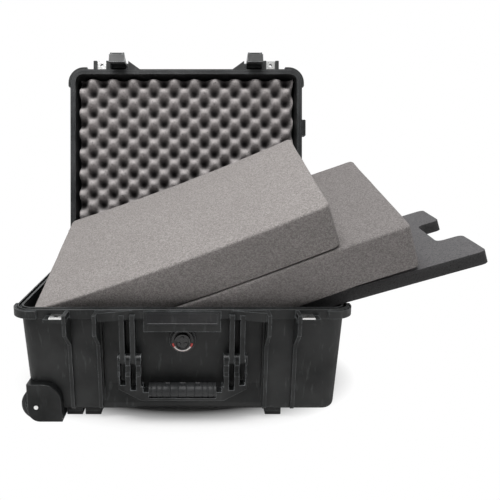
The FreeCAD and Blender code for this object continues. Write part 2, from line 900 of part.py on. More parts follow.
def handle_grip():
    """The soft sleeve round the handle's bar."""
    low = handle_z - handle_length + handle_lip
    high = handle_z - handle_length + handle_bar
    middle = (low + high) / 2
    half = grip_length / 2
    sleeve = box(-half, half, handle_y - grip_thickness / 2, handle_y + grip_thickness / 2, low, high)
    sleeve = sleeve.makeFillet(grip_edge, edges_where(sleeve, lambda b: b.XLength > half))
    return sleeve.cut(grip_core(middle))


def handle_pins():
    """Pins that carry the front handle, one at each end."""
    pins = []
    for s in SIDES:
        start = V(s * (handle_half - handle_bracket), handle_y, handle_z)
        pins.append(rod(handle_pin_radius, start, V(s * handle_half, handle_y, handle_z)))
    return pins


def hinge_pins():
    """One steel pin in each hinge."""
    half = hinge_lid_knuckle / 2 + hinge_side_gap + hinge_base_knuckle
    return [
        rod(hinge_pin_radius, V(place - half, hinge_y, hinge_z), V(place + half, hinge_y, hinge_z))
        for place in hinge_places
    ]


def opened(shape):
    """A piece of the closed lid, turned to where the lid stands open."""
    shape = shape.copy()
    shape.rotate(V(0, hinge_y, hinge_z), X_AXIS, -open_degrees)
    return shape


def latch_bore(place):
    """The pin hole of one latch, right through it and its lugs."""
    reach = latch_width + overrun
    return rod(
        latch_pin_radius + running_gap, V(place - reach, latch_y, latch_z), V(place + reach, latch_y, latch_z)
    )


def lug_outline(x0, x1):
    """A rounded lug from the lid's front to the latch pin."""
    arm = profile_x(
        [
            (front + wall, parting + lid_gap), (front, parting + lid_gap), (latch_y - lug_radius, latch_z),
            (latch_y, latch_z + lug_radius), (front + rim_overhang, latch_z + lug_radius),
        ],
        x0, x1,
    )
    return arm.fuse(rod(lug_radius, V(x0, latch_y, latch_z), V(x1, latch_y, latch_z)))


def lid_shell():
    """The moulded lid, made closed: walls, rim, latch lugs, guards and hinge knuckles."""
    low = parting + lid_gap
    top = parting + lid_height
    outer = drafted(body_width, body_depth, body_radius, low + rim_edge, top)
    outer = round_flat_edges(outer, top, lid_edge)
    extras = [rim_band(low, parting + rim_height)]
    extras += corner_guards(low + guard_drop, parting + rim_height - guard_drop)
    plateau = rounded_prism(
        body_width - 2 * plateau_margin, body_depth - 2 * plateau_margin, body_radius,
        top - wall / 2, top + plateau_height,
    )
    extras.append(round_flat_edges(plateau, top + plateau_height, plateau_height / 2))
    for place in latch_places:
        side = 1 if place > 0 else -1
        reach = latch_width / 2 + lug_side_gap
        for turn in SIDES:
            x0, x1 = sorted((place + turn * reach, place + turn * (reach + lug_thickness)))
            extras.append(lug_outline(x0, x1))
        x0 = place - side * (reach + lug_thickness)
        points = [(x0, front + wall), (x0, front - gusset_reach), (x0 - side * gusset_width, front + wall)]
        extras.append(profile_z(points, low, parting + rim_height))
    plate_low = low + padlock_lug
    extras += padlock_lug_box(plate_low, parting + rim_height)
    half = padlock_width / 2
    tooth = (padlock_width - padlock_plate_width) / 2 - body_gap
    for s in SIDES:
        for turn in SIDES:
            edge = s * padlock_place + turn * half
            x0, x1 = sorted((edge, edge - turn * tooth))
            extras.append(box(x0, x1, front - padlock_reach, front + rim_edge, low, parting + rim_height))
    for y in side_guard_places:
        reach = side_guard_width / 2
        guard = box(right - wall, right + side_guard_proud, y - reach, y + reach,
                    low + guard_drop, parting + rim_height)
        extras.append(guard.makeFillet(side_guard_edge, edges_where(guard, lambda b: b.XMin > right)))
    extras += knuckles((0,), hinge_lid_knuckle, parting + body_gap, parting + rim_height - rim_edge)
    solid = outer.fuse(extras)
    cuts = [mouth(low, top - wall)] + hinge_bores() + padlock_bores() + [seal_ring(overrun)]
    cuts += padlock_plates(lid_plate_low)
    for place in latch_places:
        cuts.append(latch_bore(place))
    return solid.cut(cuts).removeSplitter()


def seal_ring(below):
    """The seal in the lid's rim, from its groove's roof down past the rim by a length."""
    roof = parting + lid_gap + seal_height
    offset = groove_offset + (groove_width - seal_width) / 2
    return rim_ring(offset, seal_width, parting + lid_gap - below, roof)


def lid_foam():
    """The egg-crate foam in the lid: a slab with staggered peaks, made closed."""
    roof = parting + lid_height - wall
    width = body_width - 2 * wall - 2 * draft * lid_height - 2 * foam_margin
    depth = body_depth - 2 * wall - 2 * draft * lid_height - 2 * foam_margin
    root = roof - foam_slab
    slab = round_flat_edges(rounded_prism(width, depth, foam_radius, root, roof), roof, inner_edge)
    columns = int(width / peak_pitch)
    rows = int((depth - 2 * peak_base_radius) / peak_row) + 1
    peaks = []
    for row in range(rows):
        y = (row - (rows - 1) / 2) * peak_row
        shift = peak_pitch / 4 * (1 if row % 2 else -1)
        for column in range(columns):
            x = (column - (columns - 1) / 2) * peak_pitch + shift
            peaks.append(
                Part.makeCone(peak_base_radius, peak_tip_radius, foam_peak, V(x, y, root), V(0, 0, -1))
            )
    return slab.fuse(peaks)


def latch_pose(shape):
    """A latch piece, made hanging on the closed lid, swung out and opened with the lid."""
    shape = shape.copy()
    shape.rotate(V(0, latch_y, latch_z), X_AXIS, -latch_swing_degrees)
    return opened(shape)


def tab_axis():
    """Place of the pull tab's pin on a hanging latch."""
    return latch_y - latch_thickness / 2 - tab_standoff, parting - tab_pivot_drop


def latch_arm(place):
    """One latch arm with its toe and the ears for its pull tab, made hanging."""
    x0, x1 = place - latch_width / 2, place + latch_width / 2
    y0, y1 = latch_y - latch_thickness / 2, latch_y + latch_thickness / 2
    low = parting - latch_drop
    plate = box(x0, x1, y0, y1, low, latch_z)
    toe = box(x0, x1, y0, front + latch_toe_reach, low, low + latch_toe)
    head = rod(latch_top, V(x0, latch_y, latch_z), V(x1, latch_y, latch_z))
    arm = plate.fuse([toe, head])
    ear_y, ear_z = tab_axis()
    for s in SIDES:
        near = place + s * (tab_width / 2 + lug_side_gap)
        e0, e1 = sorted((near, near + s * tab_ear))
        ear = rod(tab_barrel_radius, V(e0, ear_y, ear_z), V(e1, ear_y, ear_z))
        foot = box(e0, e1, ear_y, latch_y, ear_z - tab_barrel_radius, ear_z + tab_barrel_radius)
        arm = arm.fuse([ear, foot])
    arm = arm.removeSplitter()
    reach = latch_width + overrun
    arm = arm.cut(
        [
            latch_bore(place),
            rod(tab_pin_radius + running_gap, V(place - reach, ear_y, ear_z), V(place + reach, ear_y, ear_z)),
        ]
    )
    return arm


def latch_tab(place):
    """The pull tab on one latch, made hanging."""
    y, z = tab_axis()
    x0, x1 = place - tab_width / 2, place + tab_width / 2
    blade = box(x0, x1, y - tab_thickness / 2, y + tab_thickness / 2, z, z + tab_height)
    blade = blade.makeFillet(latch_edge, edges_where(blade, lambda b: b.ZMin > z + body_gap))
    barrel = rod(tab_barrel_radius - body_gap / 2, V(x0, y, z), V(x1, y, z))
    bore = rod(tab_pin_radius + running_gap, V(x0, y, z), V(x1, y, z))
    return blade.fuse(barrel).cut(bore)


def tab_pin(place):
    """The pin of one pull tab, made hanging."""
    y, z = tab_axis()
    half = tab_width / 2 + lug_side_gap + tab_ear
    return rod(tab_pin_radius, V(place - half, y, z), V(place + half, y, z))


def latch_pins():
    """The pins that carry the latches on the lid, made closed."""
    half = latch_width / 2 + lug_side_gap + lug_thickness
    return [
        rod(latch_pin_radius, V(place - half, latch_y, latch_z), V(place + half, latch_y, latch_z))
        for place in latch_places
    ]


def laid(shape, corner, turns):
    """A flat layer tilted, rolled and turned about its corner, then set down."""
    yaw, roll, tilt = turns
    origin = V(0, 0, 0)
    shape = shape.copy()
    shape.rotate(origin, Y_AXIS, -tilt)
    shape.rotate(origin, X_AXIS, roll)
    shape.rotate(origin, Z_AXIS, yaw)
    shape.translate(corner)
    return shape


def foam_layer(width, thickness, notch=False):
    """A flat foam layer with eased edges, or the pad with a notch in its right-hand end."""
    layer = box(-layer_length, 0, 0, width, 0, thickness)
    if notch:
        y0 = (width - pad_notch_width) / 2
        layer = layer.cut(
            box(-pad_notch_depth, overrun, y0, y0 + pad_notch_width, -overrun, thickness + overrun)
        )
    uprights = edges_where(layer, lambda b: b.ZLength > thickness / 2)
    return layer.makeFillet(layer_edge, uprights)


def main():
    """Build every node and write it."""
    os.makedirs("parts", exist_ok=True)
    for name, shape in base_pieces().items():
        save(name, shape)
    save("rubber_feet", *feet())
    save("name_plate", name_plate())
    save("padlock_plates_base", *padlock_plates(base_plate_low))
    for name, shape in valve_pieces().items():
        save(name, shape)
    save("hinge_pins", *hinge_pins())
    save("handle_pins", *handle_pins())
    save("front_handle", front_handle())
    save("handle_grip", handle_grip())

    for end, mirrored in (("front", False), ("rear", True)):
        pieces = {"housing": wheel_housing(), "axle": axle(), **wheel_pieces()}
        for name, shape in pieces.items():
            shape = shape.mirror(V(0, 0, 0), Y_AXIS) if mirrored else shape
            save("wheel_" + end + "_" + name, shape)

    outer = [
        tube(outer_tube_left, outer_tube_right, y, tube_width, tube_height, tube_wall)
        for y in (-trolley_track, trolley_track)
    ]
    save("trolley_outer_tubes", *outer)
    save("trolley_saddles", *saddles())
    save("saddle_screws", *saddle_screws())
    trolley = trolley_pieces()
    save("trolley_inner_tubes", *trolley["tubes"])
    save("trolley_stop_bushes", *trolley["bushes"])
    save("trolley_sockets", *trolley["sockets"])
    save("trolley_grip", trolley["grip"])
    save("trolley_button", trolley["button"])

    save("lid_shell", opened(lid_shell()))
    save("lid_seal", opened(seal_ring(seal_proud)))
    save("lid_foam", opened(lid_foam()))
    save("padlock_plates_lid", *[opened(plate) for plate in padlock_plates(lid_plate_low)])
    save("latch_pins", *[opened(pin) for pin in latch_pins()])
    for side, place in zip(("left", "right"), latch_places):
        save("latch_" + side + "_arm", latch_pose(latch_arm(place)))
        save("latch_" + side + "_tab", latch_pose(latch_tab(place)))
        save("latch_" + side + "_tab_pin", latch_pose(tab_pin(place)))

    thick = foam_layer(layer_width, layer_thickness)
    thin = foam_layer(pad_width, pad_thickness, notch=True)
    corner = V(right, front, parting)
    top = corner + V(top_layer_right, top_layer_front, top_layer_rise)
    save("foam_top", laid(thick, top, top_layer_turns))
    middle = corner + V(middle_layer_right, middle_layer_front, middle_layer_rise)
    save("foam_middle", laid(thick, middle, middle_layer_turns))
    save("foam_pad", laid(thin, corner + V(pad_right, pad_front, pad_rise), pad_turns))


main()
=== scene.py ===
"""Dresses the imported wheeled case: foam, grips, wheels, dial, finishes and studio."""

import json
import logging
import math
from dataclasses import dataclass
from enum import Enum
from functools import cache
from typing import Iterable, Optional, Sequence

import bmesh
import bpy
from mathutils import Matrix, Vector, noise


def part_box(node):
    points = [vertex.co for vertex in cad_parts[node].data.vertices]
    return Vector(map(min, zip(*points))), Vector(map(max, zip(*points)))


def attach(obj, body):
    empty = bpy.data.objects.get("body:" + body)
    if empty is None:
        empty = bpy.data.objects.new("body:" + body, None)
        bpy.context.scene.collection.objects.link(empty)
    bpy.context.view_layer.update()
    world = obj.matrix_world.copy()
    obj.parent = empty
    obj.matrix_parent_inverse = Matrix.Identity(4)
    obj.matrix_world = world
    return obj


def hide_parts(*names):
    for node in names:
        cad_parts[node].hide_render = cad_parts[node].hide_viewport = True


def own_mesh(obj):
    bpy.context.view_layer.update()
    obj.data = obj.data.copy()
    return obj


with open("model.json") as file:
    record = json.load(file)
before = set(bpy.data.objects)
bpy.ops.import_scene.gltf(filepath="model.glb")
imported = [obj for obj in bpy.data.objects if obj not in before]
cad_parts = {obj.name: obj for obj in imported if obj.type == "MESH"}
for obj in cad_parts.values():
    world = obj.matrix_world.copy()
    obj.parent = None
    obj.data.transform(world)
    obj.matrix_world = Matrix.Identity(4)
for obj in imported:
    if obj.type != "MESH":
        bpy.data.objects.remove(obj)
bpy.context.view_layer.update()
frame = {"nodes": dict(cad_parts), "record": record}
LOG = logging.getLogger("wheeled_case")

Colour = tuple[float, float, float]
Point = tuple[float, float, float]
Span = tuple[float, float]
Edge = bmesh.types.BMEdge
Mesh = bmesh.types.BMesh
Vert = bmesh.types.BMVert
Material = bpy.types.Material
Node = bpy.types.Node
Piece = bpy.types.Object
Socket = bpy.types.NodeSocket
Tree = bpy.types.NodeTree

ACROSS, INWARD, UP = Vector((1, 0, 0)), Vector((0, 1, 0)), Vector((0, 0, 1))
UNIT: Span = (0.0, 1.0)
WHITE = (1.0, 1.0, 1.0, 1.0)
WELD = 1e-6  # Vertices nearer than this become one.
NEAR = 1e-4  # Places nearer than this count as the same.
FACING = 0.9  # Least share of a normal along the axis that a face looks along.
CREASE = 35.0  # Degrees above which a hard piece's edges are shaded sharp.


class End(Enum):
    """The two ends of the wheel axle line."""

    FRONT = -1
    REAR = 1


class Hand(Enum):
    """The two latches, by the side they sit on."""

    LEFT = -1
    RIGHT = 1


class NodeKit:
    """Short calls for adding and joining shader nodes in one tree."""

    def __init__(self, tree: Tree) -> None:
        """Keep the tree that the nodes go into."""
        self.tree = tree

    def add(self, kind: str, **settings: object) -> Node:
        """Add one node.

        Args:
            kind: The node's type name, without its ShaderNode prefix.
            **settings: Attributes to set on the node.

        Returns:
            The new node.
        """
        node = self.tree.nodes.new("ShaderNode" + kind)
        for name, value in settings.items():
            setattr(node, name, value)
        return node

    def give(self, target: Socket, value: object) -> None:
        """Join an output to an input, or set the input to a plain value.

        Args:
            target: The input.
            value: An output or a plain value.
        """
        if isinstance(value, Socket):
            self.tree.links.new(value, target)
        else:
            target.default_value = value

    def fill(self, node: Node, *values: object) -> Node:
        """Fill a node's inputs in order.

        Args:
            node: The node.
            *values: Outputs or plain values.

        Returns:
            The node.
        """
        for target, value in zip(node.inputs, values):
            self.give(target, value)
        return node

    def feed(self, node: Node, **values: object) -> Node:
        """Fill a node's inputs by name.

        Args:
            node: The node.
            **values: Outputs or plain values, with spaces in the names written as underscores.

        Returns:
            The node.
        """
        for label, value in values.items():
            self.give(node.inputs[label.replace("_", " ")], value)
        return node

    def maths(self, operation: str, *values: object) -> Socket:
        """Work out a number from numbers, by Blender's name for the operation."""
        return self.fill(self.add("Math", operation=operation), *values).outputs[0]

    def measure(self, operation: str, *vectors: object) -> Socket:
        """Work out a number from vectors, by Blender's name for the operation."""
        return self.fill(self.add("VectorMath", operation=operation), *vectors).outputs["Value"]

    def remap(self, value: Socket, span: Span, result: Span = UNIT) -> Socket:
        """Stretch a value from one span to another, held at both ends."""
        return self.fill(self.add("MapRange", clamp=True), value, *span, *result).outputs[0]

    def blend(self, mask: Socket, first: object, second: object) -> Socket:
        """Mix two colours by a mask.

        Args:
            mask: Zero for the first colour, one for the second.
            first: A colour or a colour socket.
            second: A colour or a colour socket.

        Returns:
            The mixed colour.
        """
        node = self.add("Mix", data_type="RGBA")
        self.give(node.inputs[0], mask)
        for target, value in ((node.inputs[6], first), (node.inputs[7], second)):
            self.give(target, value if isinstance(value, Socket) else (*value, 1.0))
        return node.outputs[2]

    def cloud(self, vector: Socket, scale: float, detail: float) -> Socket:
        """Add noise with a fineness per metre and a number of finer layers."""
        return self.feed(self.add("TexNoise"), Vector=vector, Scale=scale, Detail=detail).outputs["Fac"]

    def mapped(self, vector: Socket, scale: Point, turn: Point = (0.0, 0.0, 0.0)) -> Socket:
        """Stretch coordinates along each axis, then turn them about each, in radians."""
        return self.feed(self.add("Mapping"), Vector=vector, Scale=scale, Rotation=turn).outputs["Vector"]

    def bump(self, height: Socket, strength: float, distance: float) -> Socket:
        """Add a bump from a height pattern, with a depth in metres."""
        node = self.feed(self.add("Bump"), Strength=strength, Distance=distance, Height=height)
        return node.outputs["Normal"]

    def place(self) -> Socket:
        """Read the piece's Object coordinates."""
        return self.add("TexCoord").outputs["Object"]


class SharedEffects:
    """Shader groups that several finishes use, each built once.

    Noise patterns are given as a fineness per metre and a number of finer layers.
    """

    PATCHES = (14.0, 5.0)
    STREAK_TURN = (0.0, 0.45, 0.0)
    STREAK_SQUEEZE = (4.5, 4.5, 1.0)
    SCUFFS = (30.0, 6.0)
    SCUFF_SPAN = (0.6, 0.74)
    BEVEL_SAMPLES = 4
    EDGE_SPAN = (0.995, 0.80)
    # Noise that breaks up the edge wear and painted edge highlight.
    EDGE_BREAKUP = (60.0, 4.0)
    EDGE_BREAKUP_SPAN = (0.32, 0.62)
    EDGE_BREAKUP_LEFT = (0.25, 1.0)
    PORE_SCALE = 150.0
    PORE_SPAN = (0.10, 0.17)
    SHADING = (9.0, 2.0)

    def group(self, name: str, control: str, outputs: Sequence[str]) -> tuple[NodeKit, Node, Node]:
        """Start a group.

        Args:
            name: The group's name.
            control: Name of its value input, after Vector.
            outputs: Names of its value outputs.

        Returns:
            The group's kit, its input node and its output node.
        """
        tree = bpy.data.node_groups.new(name, "ShaderNodeTree")
        tree.interface.new_socket("Vector", in_out="INPUT", socket_type="NodeSocketVector")
        tree.interface.new_socket(control, in_out="INPUT", socket_type="NodeSocketFloat")
        for label in outputs:
            tree.interface.new_socket(label, in_out="OUTPUT", socket_type="NodeSocketFloat")
        return NodeKit(tree), tree.nodes.new("NodeGroupInput"), tree.nodes.new("NodeGroupOutput")

    @cache
    def moulded_grain(self) -> Tree:
        """Fine pebble grain, broad patches and slanting scuffs, as on moulded plastic.

        Returns:
            The group.
        """
        kit, entry, leave = self.group("moulded_grain", "Scale", ("Height", "Patches", "Scuffs"))
        vector = entry.outputs["Vector"]
        pebble = kit.add("TexVoronoi", feature="SMOOTH_F1")
        kit.feed(pebble, Vector=vector, Scale=entry.outputs["Scale"])
        patches = kit.cloud(vector, *self.PATCHES)
        streak = kit.mapped(vector, self.STREAK_SQUEEZE, self.STREAK_TURN)
        scuffs = kit.remap(kit.cloud(streak, *self.SCUFFS), self.SCUFF_SPAN)
        kit.feed(leave, Height=pebble.outputs["Distance"], Patches=patches, Scuffs=scuffs)
        return kit.tree

    @cache
    def edge_wear_and_highlight(self) -> Tree:
        """A mask where the true normal leaves one rounded over the edges, broken up by noise, for edge wear
        and a painted edge highlight.

        Returns:
            The group.
        """
        kit, entry, leave = self.group("edge_wear_and_highlight", "Radius", ("Mask",))
        rounded = kit.feed(kit.add("Bevel", samples=self.BEVEL_SAMPLES), Radius=entry.outputs["Radius"])
        surface = kit.add("NewGeometry")
        match = kit.measure("DOT_PRODUCT", rounded.outputs["Normal"], surface.outputs["Normal"])
        wear_and_highlight = kit.cloud(entry.outputs["Vector"], *self.EDGE_BREAKUP)
        broken = kit.remap(wear_and_highlight, self.EDGE_BREAKUP_SPAN, self.EDGE_BREAKUP_LEFT)
        kit.feed(leave, Mask=kit.maths("MULTIPLY", kit.remap(match, self.EDGE_SPAN), broken))
        return kit.tree

    @cache
    def foam_cells(self) -> Tree:
        """Open cells, stray large pores and soft broad shading of cut foam.

        Returns:
            The group.
        """
        kit, entry, leave = self.group("foam_cells", "Scale", ("Height", "Tone", "Pores", "Patches"))
        vector = entry.outputs["Vector"]
        cells = kit.feed(kit.add("TexVoronoi", feature="F1"), Vector=vector, Scale=entry.outputs["Scale"])
        pores = kit.feed(kit.add("TexVoronoi", feature="F1"), Vector=vector, Scale=self.PORE_SCALE)
        tone = kit.feed(kit.add("SeparateColor"), Color=cells.outputs["Color"])
        kit.feed(
            leave, Height=cells.outputs["Distance"], Tone=tone.outputs["Red"],
            Pores=kit.remap(pores.outputs["Distance"], self.PORE_SPAN, (1.0, 0.0)),
            Patches=kit.cloud(vector, *self.SHADING),
        )
        return kit.tree

    def put(self, kit: NodeKit, tree: Tree, **values: float) -> Node:
        """Put a group in a material, read on Object coordinates, with values for its inputs."""
        return kit.feed(kit.add("Group", node_tree=tree), Vector=kit.place(), **values)


EFFECTS = SharedEffects()


def shader(name: str, roughness: float, **constants: object) -> tuple[Material, NodeKit, Node]:
    """Start a material with one Principled shader.

    Args:
        name: The material's name.
        roughness: Its plain roughness.
        **constants: Other socket values, with spaces written as underscores.

    Returns:
        The material, its kit and its shader.
    """
    material = bpy.data.materials.new(name)
    material.use_nodes = True
    kit = NodeKit(material.node_tree)
    principled = material.node_tree.nodes["Principled BSDF"]
    return material, kit, kit.feed(principled, Roughness=roughness, **constants)


def spread(middle: float, offsets: Span) -> Span:
    """A span from a middle value and how far it reaches down and up."""
    return middle + offsets[0], middle + offsets[1]


@dataclass(frozen=True)
class MouldedFinish:
    """Grained moulded plastic or rubber, paler in scuffs and along its edges, where wear and a painted edge
    highlight share one colour.
    """

    name: str
    colour: Colour
    patch_colour: Colour
    wear_and_highlight_colour: Colour
    roughness: float = 0.5
    rough_reach: Span = (0.25, 0.75)
    rough_spread: Span = (-0.07, 0.09)
    grain_scale: float = 900.0
    grain_depth: float = 0.00025
    grain_strength: float = 0.35
    edge_radius: float = 0.0020
    scuff_amount: float = 0.09
    scuff_shine: float = 2.2
    shine_reach: Span = (0.32, 0.68)
    shine_span: Span = (0.22, 0.50)
    seams: tuple[tuple[Point, float], ...] = ()
    seam_reach: Span = (0.0009, 0.0017)

    def clear_of_seams(self, kit: NodeKit, mask: Socket) -> Socket:
        """Take the edge wear and painted edge highlight off the planes where one moulding is held as
        several pieces.

        Args:
            kit: The material's kit.
            mask: The edge wear and painted edge highlight.

        Returns:
            The edge wear and painted edge highlight away from those planes.
        """
        for normal, offset in self.seams:
            along = kit.measure("DOT_PRODUCT", kit.place(), normal)
            gap = kit.maths("ABSOLUTE", kit.maths("ADD", along, offset))
            mask = kit.maths("MULTIPLY", mask, kit.remap(gap, self.seam_reach))
        return mask

    def material(self) -> Material:
        """Build the finish.

        Returns:
            The material.
        """
        material, kit, principled = shader(self.name, self.roughness)
        grain = EFFECTS.put(kit, EFFECTS.moulded_grain(), Scale=self.grain_scale)
        wear_and_highlight = EFFECTS.put(kit, EFFECTS.edge_wear_and_highlight(), Radius=self.edge_radius)
        patches = grain.outputs["Patches"]
        scuffs = kit.maths("MULTIPLY", grain.outputs["Scuffs"], self.scuff_amount)
        colour = kit.blend(patches, self.colour, self.patch_colour)
        colour = kit.blend(scuffs, colour, self.wear_and_highlight_colour)
        # Edges take wear and a painted highlight in one paler colour.
        colour = kit.blend(self.clear_of_seams(kit, wear_and_highlight.outputs["Mask"]), colour, self.wear_and_highlight_colour)
        shine = kit.remap(patches, self.shine_reach, self.shine_span)
        shine = kit.maths("ADD", shine, kit.maths("MULTIPLY", scuffs, self.scuff_shine))
        kit.feed(
            principled, Base_Color=colour, Specular_IOR_Level=shine,
            Roughness=kit.remap(patches, self.rough_reach, spread(self.roughness, self.rough_spread)),
            Normal=kit.bump(grain.outputs["Height"], self.grain_strength, self.grain_depth),
        )
        return material


@dataclass(frozen=True)
class FoamFinish:
    """Cut foam with visible cells, with painted shade blended in where the shading attribute is low."""

    name: str
    light: Colour
    dark: Colour
    pore: Colour
    # Amount and colour of the painted shade laid where the attribute is low.
    painted_shade_amount: float
    painted_shade_colour: Colour = (0.018, 0.0165, 0.017)
    cell_scale: float = 640.0
    cell_depth: float = 0.0006
    cell_strength: float = 0.8
    roughness: float = 0.96
    specular: float = 0.15
    sheen: float = 0.08
    patch_reach: Span = (0.3, 0.7)
    patch_share: float = 0.22
    unshaded_reach: Span = (0.05, 0.85)

    def material(self) -> Material:
        """Build the finish.

        Returns:
            The material.
        """
        material, kit, principled = shader(
            self.name, self.roughness, Specular_IOR_Level=self.specular, Sheen_Weight=self.sheen
        )
        cells = EFFECTS.put(kit, EFFECTS.foam_cells(), Scale=self.cell_scale)
        patches = kit.remap(cells.outputs["Patches"], self.patch_reach, (0.0, self.patch_share))
        # Painted shade: darker towards the shade colour where the attribute is low.
        unshaded_share = kit.add("Attribute", attribute_name="unshaded_share")
        depth = kit.remap(unshaded_share.outputs["Fac"], self.unshaded_reach, (self.painted_shade_amount, 0.0))
        colour = kit.blend(cells.outputs["Tone"], self.dark, self.light)
        colour = kit.blend(patches, colour, self.dark)
        colour = kit.blend(cells.outputs["Pores"], colour, self.pore)
        colour = kit.blend(depth, colour, self.painted_shade_colour)
        normal = kit.bump(cells.outputs["Height"], self.cell_strength, self.cell_depth)
        kit.feed(principled, Base_Color=colour, Normal=normal)
        return material


@dataclass(frozen=True)
class MetalFinish:
    """Plain metal with fine drawn lines along X."""

    name: str
    colour: Colour
    dark: Colour
    roughness: float = 0.28
    rough_spread: Span = (-0.08, 0.14)
    line_squeeze: Point = (0.06, 1.0, 1.0)
    lines: Span = (2600.0, 2.0)
    line_reach: Span = (0.2, 0.8)
    line_bump: Span = (0.15, 0.0001)
    smears: Span = (90.0, 4.0)
    smear_reach: Span = (0.35, 0.8)
    smear_share: float = 0.6

    def material(self) -> Material:
        """Build the finish.

        Returns:
            The material.
        """
        material, kit, principled = shader(self.name, self.roughness, Metallic=1.0)
        where = kit.place()
        lines = kit.cloud(kit.mapped(where, self.line_squeeze), *self.lines)
        smears = kit.remap(kit.cloud(where, *self.smears), self.smear_reach, (0.0, self.smear_share))
        kit.feed(
            principled, Base_Color=kit.blend(smears, self.colour, self.dark),
            Roughness=kit.remap(lines, self.line_reach, spread(self.roughness, self.rough_spread)),
            Normal=kit.bump(lines, *self.line_bump),
        )
        return material


@dataclass(frozen=True)
class GlossFinish:
    """Smooth coloured plastic with slight mottling."""

    name: str
    colour: Colour
    shade: Colour
    roughness: float = 0.34
    rough_spread: Span = (-0.05, 0.1)
    coat: float = 0.15
    mottle: Span = (160.0, 4.0)
    mottle_reach: Span = (0.3, 0.7)
    mottle_bump: Span = (0.1, 0.0002)

    def material(self) -> Material:
        """Build the finish.

        Returns:
            The material.
        """
        material, kit, principled = shader(self.name, self.roughness, Coat_Weight=self.coat)
        mottle = kit.cloud(kit.place(), *self.mottle)
        kit.feed(
            principled, Base_Color=kit.blend(mottle, self.colour, self.shade),
            Roughness=kit.remap(mottle, self.mottle_reach, spread(self.roughness, self.rough_spread)),
            Normal=kit.bump(mottle, *self.mottle_bump),
        )
        return material


class Finishes:
    """Every material of the case, built once."""

    FRONT_LEAN = (0.0, 1.0, 0.04366)
    SEAMS = (((0.0, 0.0, 1.0), -0.182), (FRONT_LEAN, 0.18581), (FRONT_LEAN, 0.19381))

    def __init__(self) -> None:
        """Build the materials."""
        # The third colour of each moulded finish serves scuffs and edge wear with a painted edge highlight.
        self.shell = MouldedFinish(
            "shell_charcoal", (0.0115, 0.0121, 0.0123), (0.0200, 0.0211, 0.0211), (0.165, 0.176, 0.182),
            seams=self.SEAMS,
        ).material()
        self.trim = MouldedFinish(
            "trim_charcoal", (0.0085, 0.0090, 0.0092), (0.0145, 0.0153, 0.0155), (0.250, 0.265, 0.275),
            roughness=0.33, grain_scale=1500.0, scuff_amount=0.03, shine_span=(0.14, 0.46),
        ).material()
        self.rubber = MouldedFinish(
            "soft_black", (0.017, 0.0178, 0.0186), (0.026, 0.0272, 0.0285), (0.045, 0.047, 0.050),
            grain_scale=1800.0, edge_radius=0.0008, scuff_amount=0.02,
        ).material()
        self.plate = MouldedFinish(
            "plate_charcoal", (0.010, 0.010, 0.0112), (0.014, 0.014, 0.0155), (0.045, 0.048, 0.052),
            roughness=0.38, grain_scale=2400.0, grain_depth=0.0001, scuff_amount=0.1,
        ).material()
        self.steel = MetalFinish("bright_steel", (0.90, 0.90, 0.89), (0.66, 0.66, 0.66)).material()
        self.aluminium = MetalFinish(
            "drawn_aluminium", (0.62, 0.63, 0.64), (0.42, 0.43, 0.44), roughness=0.36
        ).material()
        self.dial = GlossFinish("dial_black", (0.010, 0.010, 0.010), (0.024, 0.024, 0.025)).material()
        self.red = GlossFinish("ring_red", (0.58, 0.045, 0.035), (0.42, 0.03, 0.025)).material()
        self.white = GlossFinish("ring_white", (0.82, 0.78, 0.76), (0.7, 0.66, 0.64)).material()
        # Each foam's shade amount sets the painted shade on the layers' sides and in the lid foam's pits.
        self.grey_foam = FoamFinish(
            "grey_foam", (0.410, 0.384, 0.373), (0.218, 0.201, 0.193), (0.20, 0.187, 0.18), painted_shade_amount=0.30
        ).material()
        # The middle layer is the grey foam darkened all over, painted shade for the top layer's shadow.
        self.shaded_grey_foam = FoamFinish(
            "grey_foam_painted_shade", (0.305, 0.285, 0.279), (0.160, 0.148, 0.143), (0.15, 0.140, 0.135),
            painted_shade_amount=0.08,
        ).material()
        self.black_foam = FoamFinish(
            "black_foam", (0.165, 0.161, 0.164), (0.090, 0.088, 0.091), (0.030, 0.030, 0.030),
            painted_shade_amount=0.75, painted_shade_colour=(0.012, 0.012, 0.012), cell_scale=700.0, cell_depth=0.0004,
        ).material()
        self.lid_foam = FoamFinish(
            "lid_foam_dark", (0.53, 0.496, 0.490), (0.35, 0.328, 0.324), (0.018, 0.0165, 0.017),
            painted_shade_amount=0.97, cell_scale=760.0,
        ).material()
        self.slots = {
            "shell_plastic": self.shell, "steel": self.steel, "soft_rubber": self.rubber,
            "wheel_tread": self.rubber, "valve_plastic": self.dial, "ring_red": self.red,
            "plate_grey": self.plate, "tube_aluminium": self.aluminium, "foam_lid": self.lid_foam,
            "foam_grey": self.grey_foam, "foam_black": self.black_foam,
        }


def finished(
    name: str, mesh: Mesh, material: Material, crease: Optional[float] = None,
    smooth: bool = True, weld: bool = False,
) -> Piece:
    """Turn a bmesh into a scene object at the origin.

    Args:
        name: The piece's name.
        mesh: The shape, in place; it is freed.
        material: The piece's finish.
        crease: Degrees above which edges are shaded sharp, or none.
        smooth: Whether its faces are shaded smooth.
        weld: Whether doubled vertices are merged first.

    Returns:
        The new object.
    """
    if weld:
        bmesh.ops.remove_doubles(mesh, verts=mesh.verts[:], dist=WELD)
    bmesh.ops.recalc_face_normals(mesh, faces=mesh.faces[:])
    data = bpy.data.meshes.new(name)
    mesh.to_mesh(data)
    mesh.free()
    data.materials.append(material)
    for polygon in data.polygons:
        polygon.use_smooth = smooth
    if crease is not None:
        data.set_sharp_from_angle(angle=math.radians(crease))
    piece = bpy.data.objects.new(name, data)
    bpy.context.scene.collection.objects.link(piece)
    LOG.info("%s: %d faces", name, len(data.polygons))
    return piece


